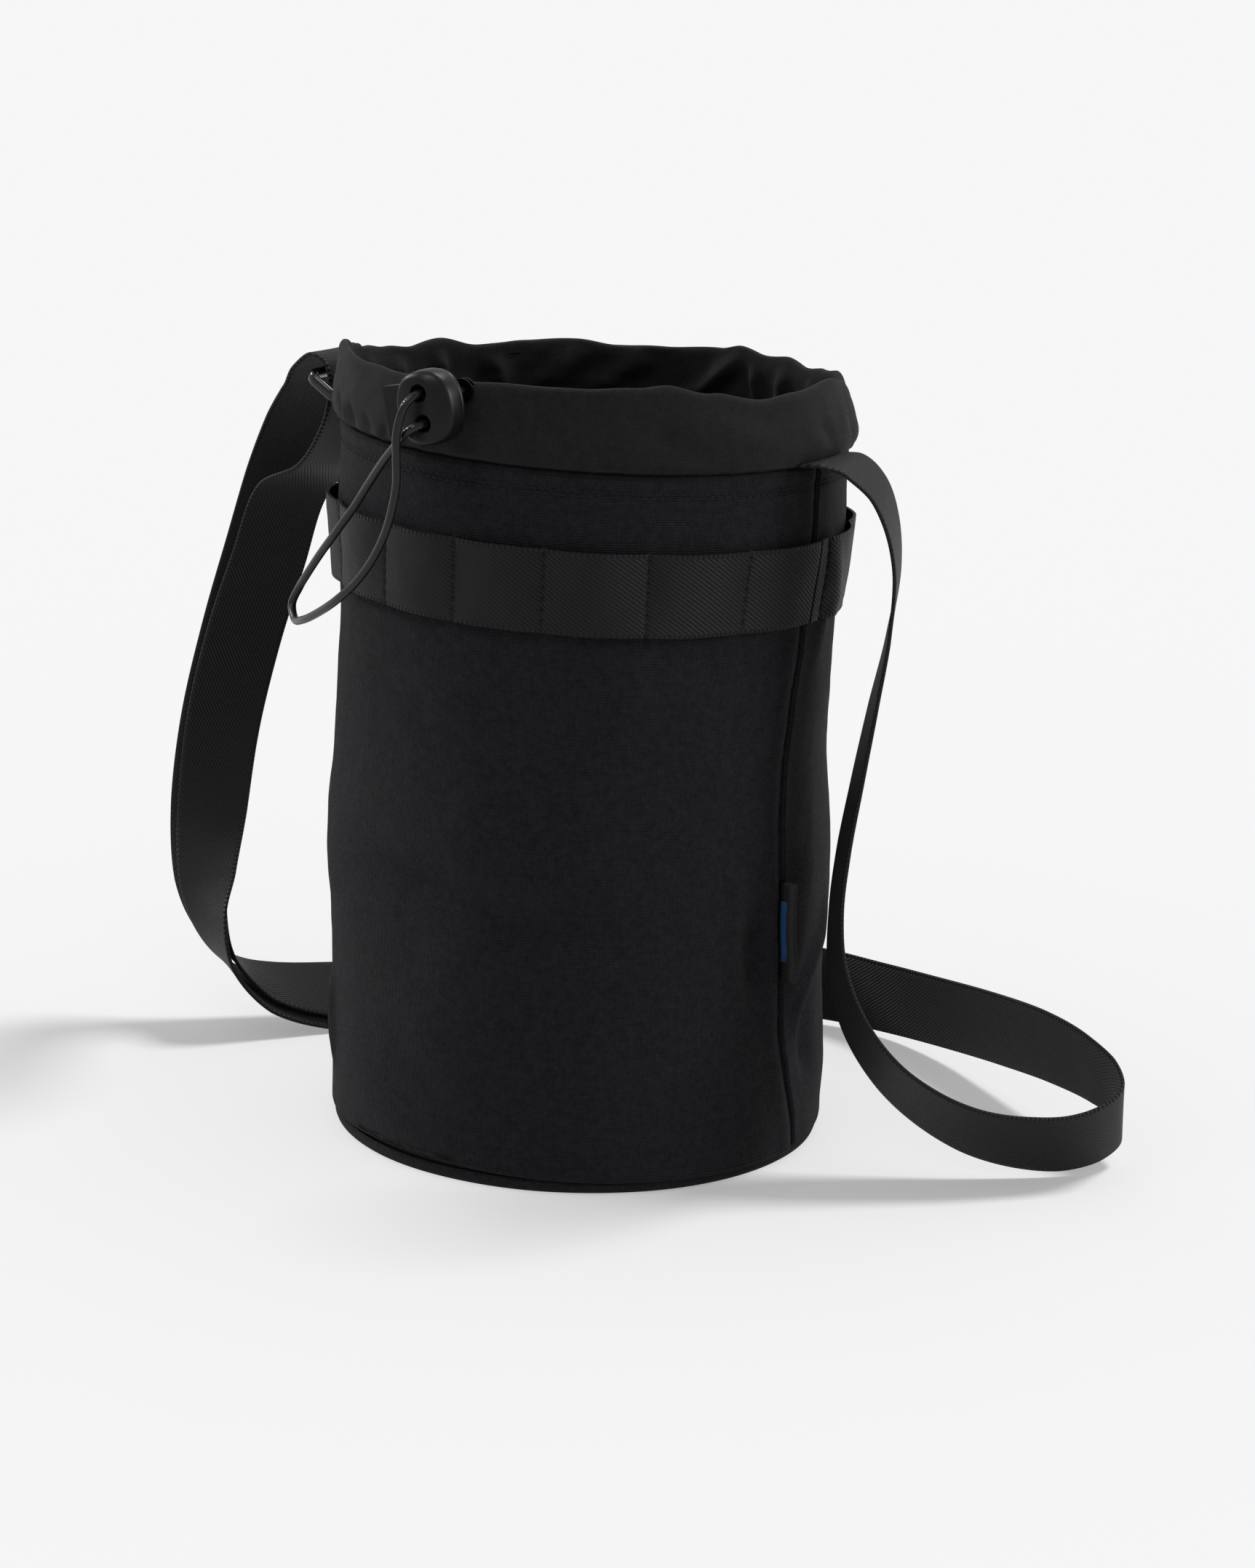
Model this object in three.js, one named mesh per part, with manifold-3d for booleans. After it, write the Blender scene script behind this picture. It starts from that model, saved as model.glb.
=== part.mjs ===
// A rope storage bag: a round sewn bag with a drawcord collar, a band of ladder webbing, a cord lock and a
// webbing shoulder strap. Millimetres, +Z up, origin at the middle of the base on the floor.
// -Y is the front, where the cord lock hangs; +X is the side where the strap is sewn in.
import * as THREE from "three";
import { mergeVertices } from "three/addons/utils/BufferGeometryUtils.js";
import Module from "manifold-3d";

const wasm = await Module();
wasm.setup();

// ---- driving dimensions ----
const BODY_RADIUS = 93.6; // outside of the front panel
const CLOTH = 1.4; // pack cloth, doubled over where it is sewn
const THIN = 0.7; // lining nylon
const GAP = 0.4; // clear gap between touching pieces
const BASE_RIM = 5.2; // height of the base panel's turned-up rim
const HEM_BOTTOM = 258.4;
const HEM_TOP = 266.4;
const COLLAR_TOP = 297.5;
const LEAN = 0.033; // the settled body is lower towards the rear right by this slope at the hem
const LEAN_X = 0.85; // direction of that slope
const LEAN_Y = 0.53;
const BACK_SLUMP = 9; // the drawn collar's rim sits this much lower at the back
const SLUMP_FROM = 270; // the collar slumps above this height
const RING_SEGMENTS = 72;

const WEBBING_WIDTH = 30;
const WEBBING = 1.4; // strap webbing thickness
const LADDER_BOTTOM = 209;
const LADDER_RADIUS = 94.2; // inside of the ladder webbing

const CORD_RADIUS = 1.5;
const CHANNEL_RADIUS = 91.8; // centre line of the cord in its channel
const CHANNEL_Z = 291;
const EYELET_X = 5; // half the distance between the two cord exits
const EYELET_RADIUS = 95.1; // middle of the collar wall at the exits

const LOCK_CENTRE = new THREE.Vector3(0, -108, 288);
const LOCK_ROLL = THREE.MathUtils.degToRad(-12);
const LOCK_HALF_WIDTH = 11;
const LOCK_HALF_HEIGHT = 13.2;
const LOCK_THICKNESS = 12.4;
const LOCK_BEVEL = 2.4;
const LOCK_HOLE_OFFSET = 5.3; // the two cord holes, above and below the middle
const LOCK_HOLE_RADIUS = 2.2;
const PLUNGER_TRAVEL = 3.5;
const PLUNGER_LEFT = -17;
const PLUNGER_RIGHT = 4;
const PLUNGER_HEIGHT = 18;
const PLUNGER_THICKNESS = 5.6;
const POCKET_RIGHT = 8.6;
const POCKET_CLEARANCE = 0.35;
const SPRING_BORE = 2.2;
const SPRING_LEFT = -4;
const SPRING_WIRE = 0.25;
const SPRING_TURNS = 6;

const RING_BAR = 3; // the strap ring's bar, in the plane of the ring
const RING_HEIGHT = 4.5; // and across it
const RING_INNER = new THREE.Vector2(-104.5, 267.5); // x and z of the bar in the tab
const RING_OUTER = new THREE.Vector2(-117.5, 275.5); // x and z of the bar in the strap
const RING_CLEAR_WIDTH = 33;
const RING_CORNER = 4;

const SLIDER_CENTRE = new THREE.Vector3(-45, 112, 20.5);
const SLIDER_ALONG = new THREE.Vector3(-0.8, -0.6, 0);
const SLIDER_LEAN = THREE.MathUtils.degToRad(25); // how far the strap's face tips back there
const SLIDER_LENGTH = 26;
const SLIDER_RAIL = 3.4;
const SLIDER_BAR = 3;

const LABEL_ANGLE = THREE.MathUtils.degToRad(86);
const LABEL_BOTTOM = 70;
const LABEL_HEIGHT = 39;

// The strap from the right seam down to the floor, round behind the bag and up to the ring:
// x, y, z of the centre line, then the direction of the edge that is uppermost on the floor.
const STRAP_ROUTE = [
  [92.3, 0, 265.4, 0, -1, 0],
  [96, 0, 265.8, 0, -1, 0],
  [100, 1, 266, 0, -1, 0],
  [107, 4, 264.5, 0.1, -1, 0],
  [114, 8, 258, 0.25, -0.97, 0],
  [119, 11, 246, 0.32, -0.94, 0.06],
  [121.5, 13, 228, 0.4, -0.9, 0.14],
  [120, 12, 203, 0.48, -0.85, 0.2],
  [116.5, 9, 176, 0.54, -0.81, 0.22],
  [113, 6, 148, 0.57, -0.79, 0.23],
  [110.5, 2.5, 122, 0.58, -0.77, 0.26],
  [110, 0, 100, 0.58, -0.76, 0.3],
  [113, -2, 78, 0.6, -0.7, 0.38],
  [121, -2, 59, 0.63, -0.64, 0.44],
  [133, 2, 42, 0.6, -0.58, 0.55],
  [147, 9, 29.5, 0.54, -0.52, 0.66],
  [162, 18, 21, 0.42, -0.48, 0.77],
  [177, 30, 16.5, 0.3, -0.45, 0.84],
  [189, 42, 15.5, 0.22, -0.44, 0.87],
  [197, 54, 18, 0.18, -0.44, 0.88],
  [199, 65, 22, 0.18, -0.43, 0.88],
  [191, 76, 27, 0.16, -0.42, 0.9],
  [175, 86, 30, 0.04, -0.28, 0.96],
  [151, 101, 29.5, -0.08, -0.12, 0.99],
  [118, 122, 25, -0.12, -0.06, 0.99],
  [84, 141, 20, -0.12, -0.06, 0.99],
  [51, 153, 17, -0.1, -0.04, 0.99],
  [20, 154, 17, -0.12, 0.06, 0.98],
  [-9, 139, 19, -0.22, 0.26, 0.93],
  [-21, 130, 20.5, -0.254, 0.338, 0.906],
  [-33, 121, 20.5, -0.254, 0.338, 0.906],
  [-45, 112, 20.5, -0.254, 0.338, 0.906],
  [-57, 103, 20.5, -0.254, 0.338, 0.906],
  [-69, 94, 20.5, -0.254, 0.338, 0.906],
  [-81, 85, 20, -0.27, 0.38, 0.88],
  [-101, 68, 16.5, -0.4, 0.5, 0.76],
  [-122, 50, 14, -0.48, 0.62, 0.62],
  [-141, 34, 13.5, -0.55, 0.67, 0.5],
  [-158, 16, 18.5, -0.67, 0.69, 0.25],
  [-169, 6, 28, -0.66, 0.72, -0.18],
  [-178, 3, 42, -0.8, 0.42, -0.4],
  [-185, 6, 60, -0.92, 0, -0.34],
  [-190, 14, 88, -0.93, -0.32, -0.15],
  [-189.5, 21, 122, -0.88, -0.47, 0.08],
  [-182, 25, 160, -0.78, -0.6, 0.18],
  [-170, 24, 196, -0.67, -0.72, 0.18],
  [-157, 20, 229, -0.57, -0.8, 0.13],
  [-144, 14, 254, -0.44, -0.89, 0.03],
  [-133, 7, 270, -0.2, -0.97, -0.02],
  [-126, 2, 278.5, -0.05, -1, 0],
  [-118.5, 0, 282.8, 0, -1, 0],
  [-113, 0, 280.5, 0, -1, 0],
  [-110.6, 0, 275.5, 0, -1, 0],
  [-110.3, 0, 272.6, 0, -1, 0],
];

// The layer that comes back from the ring. Its first points are its own, and below them it lies beside the
// strap: for each strap point from the ring down, how far in front of it and how far towards its lower edge.
const RETURN_TOP = [
  [-110.3, 0, 272, 0, -1, 0],
  [-110.8, 0, 266, 0, -1, 0],
  [-114.5, 2, 254, -0.1, -1, 0],
  [-125, 6, 238, -0.3, -0.95, 0],
];
const RETURN_FIRST_POINT = 46; // index in STRAP_ROUTE where the layer starts to lie beside the strap
const RETURN_OFFSETS = [
  [15, 0], [12, 1], [8, 2], [4.5, 3], [2.7, 4], [2.7, 4.5], [2.9, 5], [3.1, 5], [2.9, 5], [2.6, 4.5],
  [2.4, 3], [2.4, 1.5], [2.4, 0.5], [2.3, 0], [2.1, 0],
];

// The free loop of shock cord, from the lock's upper hole round to its lower hole.
const LOOP_ROUTE = [
  [-1.1, -103.4, 293.2],
  [-1.1, -106, 293.2],
  [-1.1, -111, 293.2],
  [-1.3, -114.8, 292.9],
  [-3.2, -118.8, 289.5],
  [-5, -121, 280],
  [-5, -121, 271],
  [-5.5, -120, 262],
  [-8, -119, 252],
  [-12.5, -117, 242],
  [-19, -115, 232],
  [-27, -113, 223],
  [-37, -110, 215],
  [-48.5, -104.5, 208],
  [-61, -97.5, 202],
  [-69.5, -91, 200],
  [-74, -86.5, 204.5],
  [-70.5, -87, 211],
  [-65, -90, 217],
  [-55, -95.5, 227],
  [-44, -101, 237.5],
  [-34, -104, 248.5],
  [-26, -107, 258],
  [-17.5, -111, 267],
  [-10, -114.5, 274],
  [-4, -117.6, 279.2],
  [-0.4, -117, 281.8],
  [1, -114, 282.7],
  [1.1, -110, 282.8],
  [1.1, -106, 282.8],
  [1.1, -103.4, 282.8],
];

// ---- materials ----
const matt = (color, roughness) => new THREE.MeshStandardMaterial({ color, roughness, metalness: 0 });
const packCloth = matt(0x16161a, 0.95);
const nylon = matt(0x1d1a19, 0.8);
const webbingCloth = matt(0x131417, 0.7);
const cordCloth = matt(0x18191c, 0.6);
const labelCloth = matt(0x101216, 0.75);
const bindingCloth = matt(0x141414, 0.9);
const boardPlastic = matt(0x202224, 0.6);
const lockPlastic = matt(0x0d0e10, 0.35);
const ringPlastic = matt(0x0b0c0e, 0.2);
const steel = new THREE.MeshStandardMaterial({ color: 0xb8bcc0, roughness: 0.3, metalness: 1 });
const blackBrass = new THREE.MeshStandardMaterial({ color: 0x1a1a1a, roughness: 0.35, metalness: 0.8 });

const bag = new THREE.Group();

function add(name, geometry, material, parent = bag) {
  const mesh = new THREE.Mesh(geometry, material);
  mesh.name = name;
  parent.add(mesh);
  return mesh;
}

// ---- solids ----
function toManifold(geometry) {
  const bare = new THREE.BufferGeometry();
  bare.setAttribute("position", geometry.getAttribute("position").clone());
  if (geometry.index) {
    bare.setIndex(geometry.index.clone());
  }
  const merged = mergeVertices(bare, 1e-4);
  return new wasm.Manifold(new wasm.Mesh({
    numProp: 3,
    vertProperties: merged.getAttribute("position").array,
    triVerts: new Uint32Array(merged.index.array),
  }));
}

function fromManifold(solid) {
  const mesh = solid.getMesh();
  const geometry = new THREE.BufferGeometry();
  geometry.setAttribute("position", new THREE.BufferAttribute(mesh.vertProperties, 3));
  geometry.setIndex(new THREE.BufferAttribute(mesh.triVerts, 1));
  geometry.computeVertexNormals();
  return geometry;
}

function cut(geometry, ...tools) {
  const solid = tools.reduce((left, tool) => left.subtract(toManifold(tool)), toManifold(geometry));
  return fromManifold(solid);
}

function join(geometry, ...more) {
  const solid = more.reduce((sum, piece) => sum.add(toManifold(piece)), toManifold(geometry));
  return fromManifold(solid);
}

// A box between two corners.
function block(x0, x1, y0, y1, z0, z1) {
  const box = new THREE.BoxGeometry(x1 - x0, y1 - y0, z1 - z0);
  return box.translate((x0 + x1) / 2, (y0 + y1) / 2, (z0 + z1) / 2);
}

// A round solid about Z from a closed profile of [radius, height] points, anticlockwise.
function turned(profile) {
  const points = profile.map(([radius, z]) => new THREE.Vector2(radius, z));
  return new THREE.LatheGeometry(points, RING_SEGMENTS).rotateX(Math.PI / 2);
}

function ring(inner, outer, bottom, top) {
  return turned([[inner, bottom], [outer, bottom], [outer, top], [inner, top], [inner, bottom]]);
}

// Part of a ring, between two angles that are measured from the front (-Y) towards +X.
function sector(inner, outer, bottom, top, from, to) {
  const start = THREE.MathUtils.degToRad(from - 90);
  const end = THREE.MathUtils.degToRad(to - 90);
  const shape = new THREE.Shape();
  shape.absarc(0, 0, outer, start, end, false);
  shape.absarc(0, 0, inner, end, start, true);
  const curveSegments = Math.max(1, Math.round((to - from) / (360 / RING_SEGMENTS)));
  return new THREE.ExtrudeGeometry(shape, { depth: top - bottom, bevelEnabled: false, curveSegments })
    .translate(0, 0, bottom);
}

// The height at which a point of the straight body sits once the body has settled.
function settledZ(x, y, z) {
  const leaned = z * (1 - (LEAN / HEM_TOP) * (LEAN_X * x + LEAN_Y * y));
  const share = THREE.MathUtils.clamp((z - SLUMP_FROM) / (COLLAR_TOP - SLUMP_FROM), 0, 1);
  return leaned - BACK_SLUMP * share * THREE.MathUtils.smoothstep(y, -25, 75);
}

function settle(geometry) {
  const position = geometry.getAttribute("position");
  for (let i = 0; i < position.count; i += 1) {
    position.setZ(i, settledZ(position.getX(i), position.getY(i), position.getZ(i)));
  }
  geometry.computeVertexNormals();
  return geometry;
}

// A round cord through hand-chosen points.
function cordTube(route, steps, sides = 8) {
  const path = new THREE.CatmullRomCurve3(route.map((p) => new THREE.Vector3(...p)), false, "centripetal");
  return tubeAlong(path, CORD_RADIUS, steps, sides);
}

function tubeAlong(path, radius, steps, sides) {
  const corners = [];
  for (let i = 0; i < sides; i += 1) {
    const angle = (2 * Math.PI * i) / sides;
    corners.push(new THREE.Vector2(radius * Math.cos(angle), radius * Math.sin(angle)));
  }
  return new THREE.ExtrudeGeometry(new THREE.Shape(corners), { steps, bevelEnabled: false, extrudePath: path });
}

// The strap's centre point, direction, edge direction and face direction at one entry of a route.
function frameAt(route, index) {
  const point = new THREE.Vector3(...route[index].slice(0, 3));
  const before = new THREE.Vector3(...route[Math.max(index - 1, 0)].slice(0, 3));
  const after = new THREE.Vector3(...route[Math.min(index + 1, route.length - 1)].slice(0, 3));
  const along = after.sub(before).normalize();
  const edge = squared(new THREE.Vector3(...route[index].slice(3)), along);
  const face = along.clone().cross(edge);
  return { point, along, edge, face };
}

// An edge direction made square to the strap's run.
function squared(edge, along) {
  return edge.addScaledVector(along, -edge.dot(along)).normalize();
}

// A flat strip of webbing along a route of centre points and edge directions.
function ribbon(route, stepsPerPoint, width = WEBBING_WIDTH, thickness = WEBBING) {
  const centres = route.map((entry) => new THREE.Vector3(...entry.slice(0, 3)));
  const edges = route.map((entry) => new THREE.Vector3(...entry.slice(3)).normalize());
  const centreLine = new THREE.CatmullRomCurve3(centres, false, "centripetal");
  const edgeLine = new THREE.CatmullRomCurve3(edges, false, "centripetal");
  const count = (route.length - 1) * stepsPerPoint;
  const positions = [];
  for (let i = 0; i <= count; i += 1) {
    const t = i / count;
    const centre = centreLine.getPoint(t);
    const along = centreLine.getTangent(t);
    const edge = squared(edgeLine.getPoint(t), along);
    const face = along.clone().cross(edge);
    for (const [e, f] of [[-1, -1], [1, -1], [1, 1], [-1, 1]]) {
      const corner = centre.clone().addScaledVector(edge, (e * width) / 2).addScaledVector(face, (f * thickness) / 2);
      positions.push(corner.x, corner.y, corner.z);
    }
  }
  const index = [0, 2, 1, 0, 3, 2];
  for (let i = 0; i < count; i += 1) {
    for (let side = 0; side < 4; side += 1) {
      const a = 4 * i + side;
      const b = 4 * i + ((side + 1) % 4);
      // Both flat faces are split along the same diagonal, so they stay apart where the webbing twists.
      if (side === 2) index.push(a, b, a + 4, b, b + 4, a + 4);
      else index.push(a, b, b + 4, a, b + 4, a + 4);
    }
  }
  const last = 4 * count;
  index.push(last, last + 1, last + 2, last, last + 2, last + 3);
  const geometry = new THREE.BufferGeometry();
  geometry.setAttribute("position", new THREE.Float32BufferAttribute(positions, 3));
  geometry.setIndex(index);
  geometry.computeVertexNormals();
  return geometry;
}

// ---- body ----
function addBody() {
  const wallBottom = BASE_RIM + GAP;
  const wallTop = HEM_BOTTOM - GAP;
  const backRadius = BODY_RADIUS - 0.6; // the front panel stands slightly over the back panel at the seams
  const front = sector(BODY_RADIUS - CLOTH, BODY_RADIUS, wallBottom, wallTop, -89.8, 89.8);
  add("front_panel", settle(front), packCloth);
  const back = sector(backRadius - CLOTH, backRadius, wallBottom, wallTop, 90.2, 269.8);
  add("back_panel", settle(back), packCloth);
  add("top_hem", settle(ring(BODY_RADIUS - 1.6, BODY_RADIUS + 0.5, HEM_BOTTOM, HEM_TOP)), packCloth);

  const rimOuter = BODY_RADIUS - 0.4;
  const rimInner = rimOuter - CLOTH;
  add("base_panel", turned([
    [0, 0], [rimOuter - 1.6, 0], [rimOuter - 0.4, 0.6], [rimOuter, 1.8], [rimOuter, BASE_RIM],
    [rimInner, BASE_RIM], [rimInner, 2.2], [rimInner - 0.6, CLOTH], [0, CLOTH],
  ]), packCloth);
  const stiffener = turned([[0, 1.8], [88, 1.8], [88, 3.3], [0, 3.3]]);
  add("base_stiffener", stiffener, boardPlastic);
  add("lining_base", turned([[0, 3.7], [89.2, 3.7], [89.2, 4.4], [0, 4.4]]), nylon);
  add("lining_wall", settle(ring(90.3, 90.3 + THIN, 4.8, HEM_BOTTOM - GAP)), nylon);

  add("base_binding", settle(ring(88.6, 89.8, 4.8, 14)), bindingCloth);
  const bindingHalfAngle = 4;
  for (const [name, middle] of [["seam_binding_right", 90], ["seam_binding_left", 270]]) {
    const tape = sector(88.8, 89.9, 14.5, 250, middle - bindingHalfAngle, middle + bindingHalfAngle);
    add(name, settle(tape), bindingCloth);
  }
}

function addLadder() {
  const top = LADDER_BOTTOM + WEBBING_WIDTH;
  const outer = LADDER_RADIUS + WEBBING;
  const front = sector(LADDER_RADIUS, outer, LADDER_BOTTOM, top, -89.6, 89.6);
  add("ladder_webbing_front", settle(front), webbingCloth);
  const back = sector(LADDER_RADIUS, outer, LADDER_BOTTOM, top, 90.4, 269.6);
  add("ladder_webbing_back", settle(back), webbingCloth);
}

// A folded label, sewn into the right seam with its fold standing out.
function addLabel() {
  const shape = new THREE.Shape();
  shape.moveTo(0, 0.45);
  shape.lineTo(0, -0.45);
  shape.lineTo(2.9, -0.6);
  shape.absarc(4.4, 0, 1.6, Math.PI + 0.4, Math.PI - 0.4 + 2 * Math.PI, false);
  shape.lineTo(2.9, 0.6);
  const hollow = new THREE.Path();
  hollow.absarc(4.4, 0, 1.1, 0, 2 * Math.PI, true);
  shape.holes.push(hollow);
  const fold = new THREE.ExtrudeGeometry(shape, { depth: LABEL_HEIGHT, bevelEnabled: false, curveSegments: 8 });
  const label = add("woven_label", fold, labelCloth);
  const radius = BODY_RADIUS + GAP;
  label.position.set(radius * Math.sin(LABEL_ANGLE), -radius * Math.cos(LABEL_ANGLE), LABEL_BOTTOM);
  label.rotation.z = LABEL_ANGLE - Math.PI / 2;
}

// ---- collar and drawcord ----
function addCollar() {
  const neck = BODY_RADIUS - 1.9; // inside the hem
  const outer = EYELET_RADIUS + 0.4;
  const wall = 0.8;
  const profile = [
    [neck, HEM_BOTTOM], [neck, 270.2], [outer - 0.4, 272.4], [97.2, 276], [97.4, 281], [outer, 286], [outer, 295.6],
    [outer - 1.4, COLLAR_TOP], [90.2, COLLAR_TOP], [88.8, 295.6], [88.8, 286],
    [88.8 + wall, 286], [88.8 + wall, 295.2], [90.6, COLLAR_TOP - wall], [outer - 1.8, COLLAR_TOP - wall],
    [outer - wall, 295.2], [outer - wall, 286], [97.4 - wall, 281], [97.2 - wall, 276.4],
    [outer - 0.4 - wall, 273.2], [neck - wall, 270.8], [neck - wall, HEM_BOTTOM], [neck, HEM_BOTTOM],
  ];
  const hole = () => new THREE.CylinderGeometry(3.4, 3.4, 6, 16).translate(0, -EYELET_RADIUS, 0);
  const leftHole = hole().translate(-EYELET_X, 0, CHANNEL_Z);
  const rightHole = hole().translate(EYELET_X, 0, CHANNEL_Z);
  const halfGap = GAP / 2;
  const whole = turned(profile);
  const behind = block(-120, 120, -halfGap, 120, 200, 320);
  const ahead = block(-120, 120, -120, halfGap, 200, 320);
  add("collar_front", settle(cut(whole, behind, leftHole, rightHole)), nylon);
  add("collar_back", settle(cut(whole, ahead)), nylon);
}

// An eyelet with a flange on each side of the collar wall, its axis along Y.
function addEyelet(name, x) {
  const bore = 2.6;
  const barrel = 3;
  const flange = 4.4;
  const grip = 0.9; // from the middle of the collar wall to each flange
  const end = 1.3;
  const profile = [
    [bore, -end], [flange, -end], [flange, -grip], [barrel, -grip], [barrel, grip], [flange, grip], [flange, end],
    [bore, end], [bore, -end],
  ];
  const points = profile.map(([radius, y]) => new THREE.Vector2(radius, y));
  const eyelet = add(name, new THREE.LatheGeometry(points, 20).rotateX(Math.PI), blackBrass);
  const y = -Math.sqrt(EYELET_RADIUS ** 2 - x ** 2);
  eyelet.position.set(x, y, settledZ(x, y, CHANNEL_Z));
  eyelet.rotation.z = x / EYELET_RADIUS;
}

// Half of the cord inside the channel, from the crimp at the back to near the front.
function addChannelCord(name, side) {
  const points = [];
  for (let angle = 176; angle >= 9; angle -= 167 / 32) {
    const turn = THREE.MathUtils.degToRad(angle) * side;
    points.push(new THREE.Vector3(CHANNEL_RADIUS * Math.sin(turn), -CHANNEL_RADIUS * Math.cos(turn), CHANNEL_Z));
  }
  const path = new THREE.CatmullRomCurve3(points);
  add(name, settle(tubeAlong(path, CORD_RADIUS, 32, 8)), cordCloth);
}

function addCrimp() {
  const crimp = new THREE.CylinderGeometry(1.9, 1.9, 10, 16).rotateZ(Math.PI / 2);
  const y = CHANNEL_RADIUS;
  add("cord_crimp", crimp.translate(0, y, settledZ(0, y, CHANNEL_Z)), steel);
}

function addExitStrands() {
  const z = settledZ(0, -EYELET_RADIUS, CHANNEL_Z);
  const inChannel = -CHANNEL_RADIUS;
  const holeX = LOCK_HOLE_OFFSET * Math.sin(-LOCK_ROLL);
  const holeZ = LOCK_HOLE_OFFSET * Math.cos(LOCK_ROLL);
  const lockBack = LOCK_CENTRE.y + LOCK_THICKNESS / 2;
  const upper = [
    [-13.8, inChannel + 1, z + 0.2], [-10.5, inChannel + 0.7, z + 0.1], [-7.8, inChannel, z],
    [-5.7, inChannel - 1.5, z], [-EYELET_X, -EYELET_RADIUS, z], [-4.4, -97.5, z + 0.2],
    [-2.4, -99.3, LOCK_CENTRE.z + holeZ], [-holeX, lockBack + 0.8, LOCK_CENTRE.z + holeZ],
    [-holeX, lockBack - 1.2, LOCK_CENTRE.z + holeZ],
  ];
  const lower = [
    [13.8, inChannel + 1, z - 0.4], [10.5, inChannel + 0.7, z - 0.3], [7.8, inChannel, z - 0.1],
    [5.7, inChannel - 1.5, z], [EYELET_X, -EYELET_RADIUS, z], [4.4, -97.6, z - 1],
    [2.8, -98.6, z - 4.5], [1.6, -99.4, LOCK_CENTRE.z - holeZ + 1],
    [holeX, lockBack + 0.8, LOCK_CENTRE.z - holeZ], [holeX, lockBack - 1.2, LOCK_CENTRE.z - holeZ],
  ];
  add("exit_strand_upper", cordTube(upper, 24), cordCloth);
  add("exit_strand_lower", cordTube(lower, 28), cordCloth);
}

// ---- cord lock ----
// The lock is built about its middle with its face towards -Y, then rolled and moved into place.
function addCordLock() {
  const lock = new THREE.Group();
  lock.position.copy(LOCK_CENTRE);
  lock.rotation.y = LOCK_ROLL;
  bag.add(lock);

  const outline = new THREE.Shape();
  outline.absellipse(0, 0, LOCK_HALF_WIDTH - LOCK_BEVEL, LOCK_HALF_HEIGHT - LOCK_BEVEL, 0, 2 * Math.PI);
  const depth = LOCK_THICKNESS - 2 * LOCK_BEVEL;
  const shell = new THREE.ExtrudeGeometry(outline, {
    depth,
    bevelThickness: LOCK_BEVEL,
    bevelSize: LOCK_BEVEL,
    bevelSegments: 3,
    curveSegments: 16,
  }).translate(0, 0, -depth / 2).rotateX(Math.PI / 2);
  const pocketZ = PLUNGER_HEIGHT / 2 + POCKET_CLEARANCE;
  const pocketY = PLUNGER_THICKNESS / 2 + POCKET_CLEARANCE;
  const pocket = block(-LOCK_HALF_WIDTH - 4, POCKET_RIGHT, -pocketY, pocketY, -pocketZ, pocketZ);
  const holes = [1, -1].map((side) =>
    new THREE.CylinderGeometry(LOCK_HOLE_RADIUS, LOCK_HOLE_RADIUS, 2 * LOCK_THICKNESS, 20)
      .translate(0, 0, side * LOCK_HOLE_OFFSET));
  add("cord_lock_body", cut(shell, pocket, ...holes), lockPlastic, lock);

  const halfHeight = PLUNGER_HEIGHT / 2;
  const halfThickness = PLUNGER_THICKNESS / 2;
  const bar = block(PLUNGER_LEFT, PLUNGER_RIGHT, -halfThickness, halfThickness, -halfHeight, halfHeight);
  const slotHalf = CORD_RADIUS + 0.3;
  const slots = [1, -1].map((side) => {
    const z = side * LOCK_HOLE_OFFSET;
    return block(-slotHalf - PLUNGER_TRAVEL, slotHalf, -5, 5, z - slotHalf, z + slotHalf);
  });
  const bore = new THREE.CylinderGeometry(SPRING_BORE, SPRING_BORE, 20, 16)
    .rotateZ(Math.PI / 2)
    .translate(SPRING_LEFT + 10, 0, 0);
  add("cord_lock_plunger", cut(bar, bore, ...slots), lockPlastic, lock);

  const turns = [];
  const first = SPRING_LEFT + 0.3 + SPRING_WIRE;
  const last = POCKET_RIGHT - 0.3 - SPRING_WIRE;
  const pointsPerTurn = 10;
  for (let i = 0; i <= SPRING_TURNS * pointsPerTurn; i += 1) {
    const angle = (2 * Math.PI * i) / pointsPerTurn;
    const x = first + ((last - first) * i) / (SPRING_TURNS * pointsPerTurn);
    turns.push(new THREE.Vector3(x, 1.6 * Math.cos(angle), 1.6 * Math.sin(angle)));
  }
  const helix = new THREE.CatmullRomCurve3(turns);
  add("cord_lock_spring", tubeAlong(helix, SPRING_WIRE, SPRING_TURNS * pointsPerTurn, 6), steel, lock);
}

// ---- shoulder strap ----
function addRing() {
  const reach = RING_OUTER.distanceTo(RING_INNER);
  const halfWidth = RING_CLEAR_WIDTH / 2 + RING_BAR;
  const outline = roundedRectangle(-RING_BAR / 2, reach + RING_BAR / 2, halfWidth, RING_CORNER, new THREE.Shape());
  const eye = roundedRectangle(
    RING_BAR / 2, reach - RING_BAR / 2, RING_CLEAR_WIDTH / 2, RING_CORNER - RING_BAR / 2, new THREE.Path(),
  );
  outline.holes.push(eye);
  const plate = new THREE.ExtrudeGeometry(outline, {
    depth: RING_HEIGHT - 1,
    bevelThickness: 0.5,
    bevelSize: 0.4,
    bevelOffset: -0.4,
    bevelSegments: 1,
    curveSegments: 5,
  }).translate(0, 0, -(RING_HEIGHT - 1) / 2);
  const rise = Math.atan2(RING_OUTER.y - RING_INNER.y, RING_INNER.x - RING_OUTER.x);
  const holder = new THREE.Group();
  holder.position.set(RING_INNER.x, 0, RING_INNER.y);
  holder.rotation.y = rise;
  bag.add(holder);
  const mesh = add("strap_ring", plate, ringPlastic, holder);
  mesh.rotation.z = Math.PI; // the plate is drawn towards +X and lies towards -X
}

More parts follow.
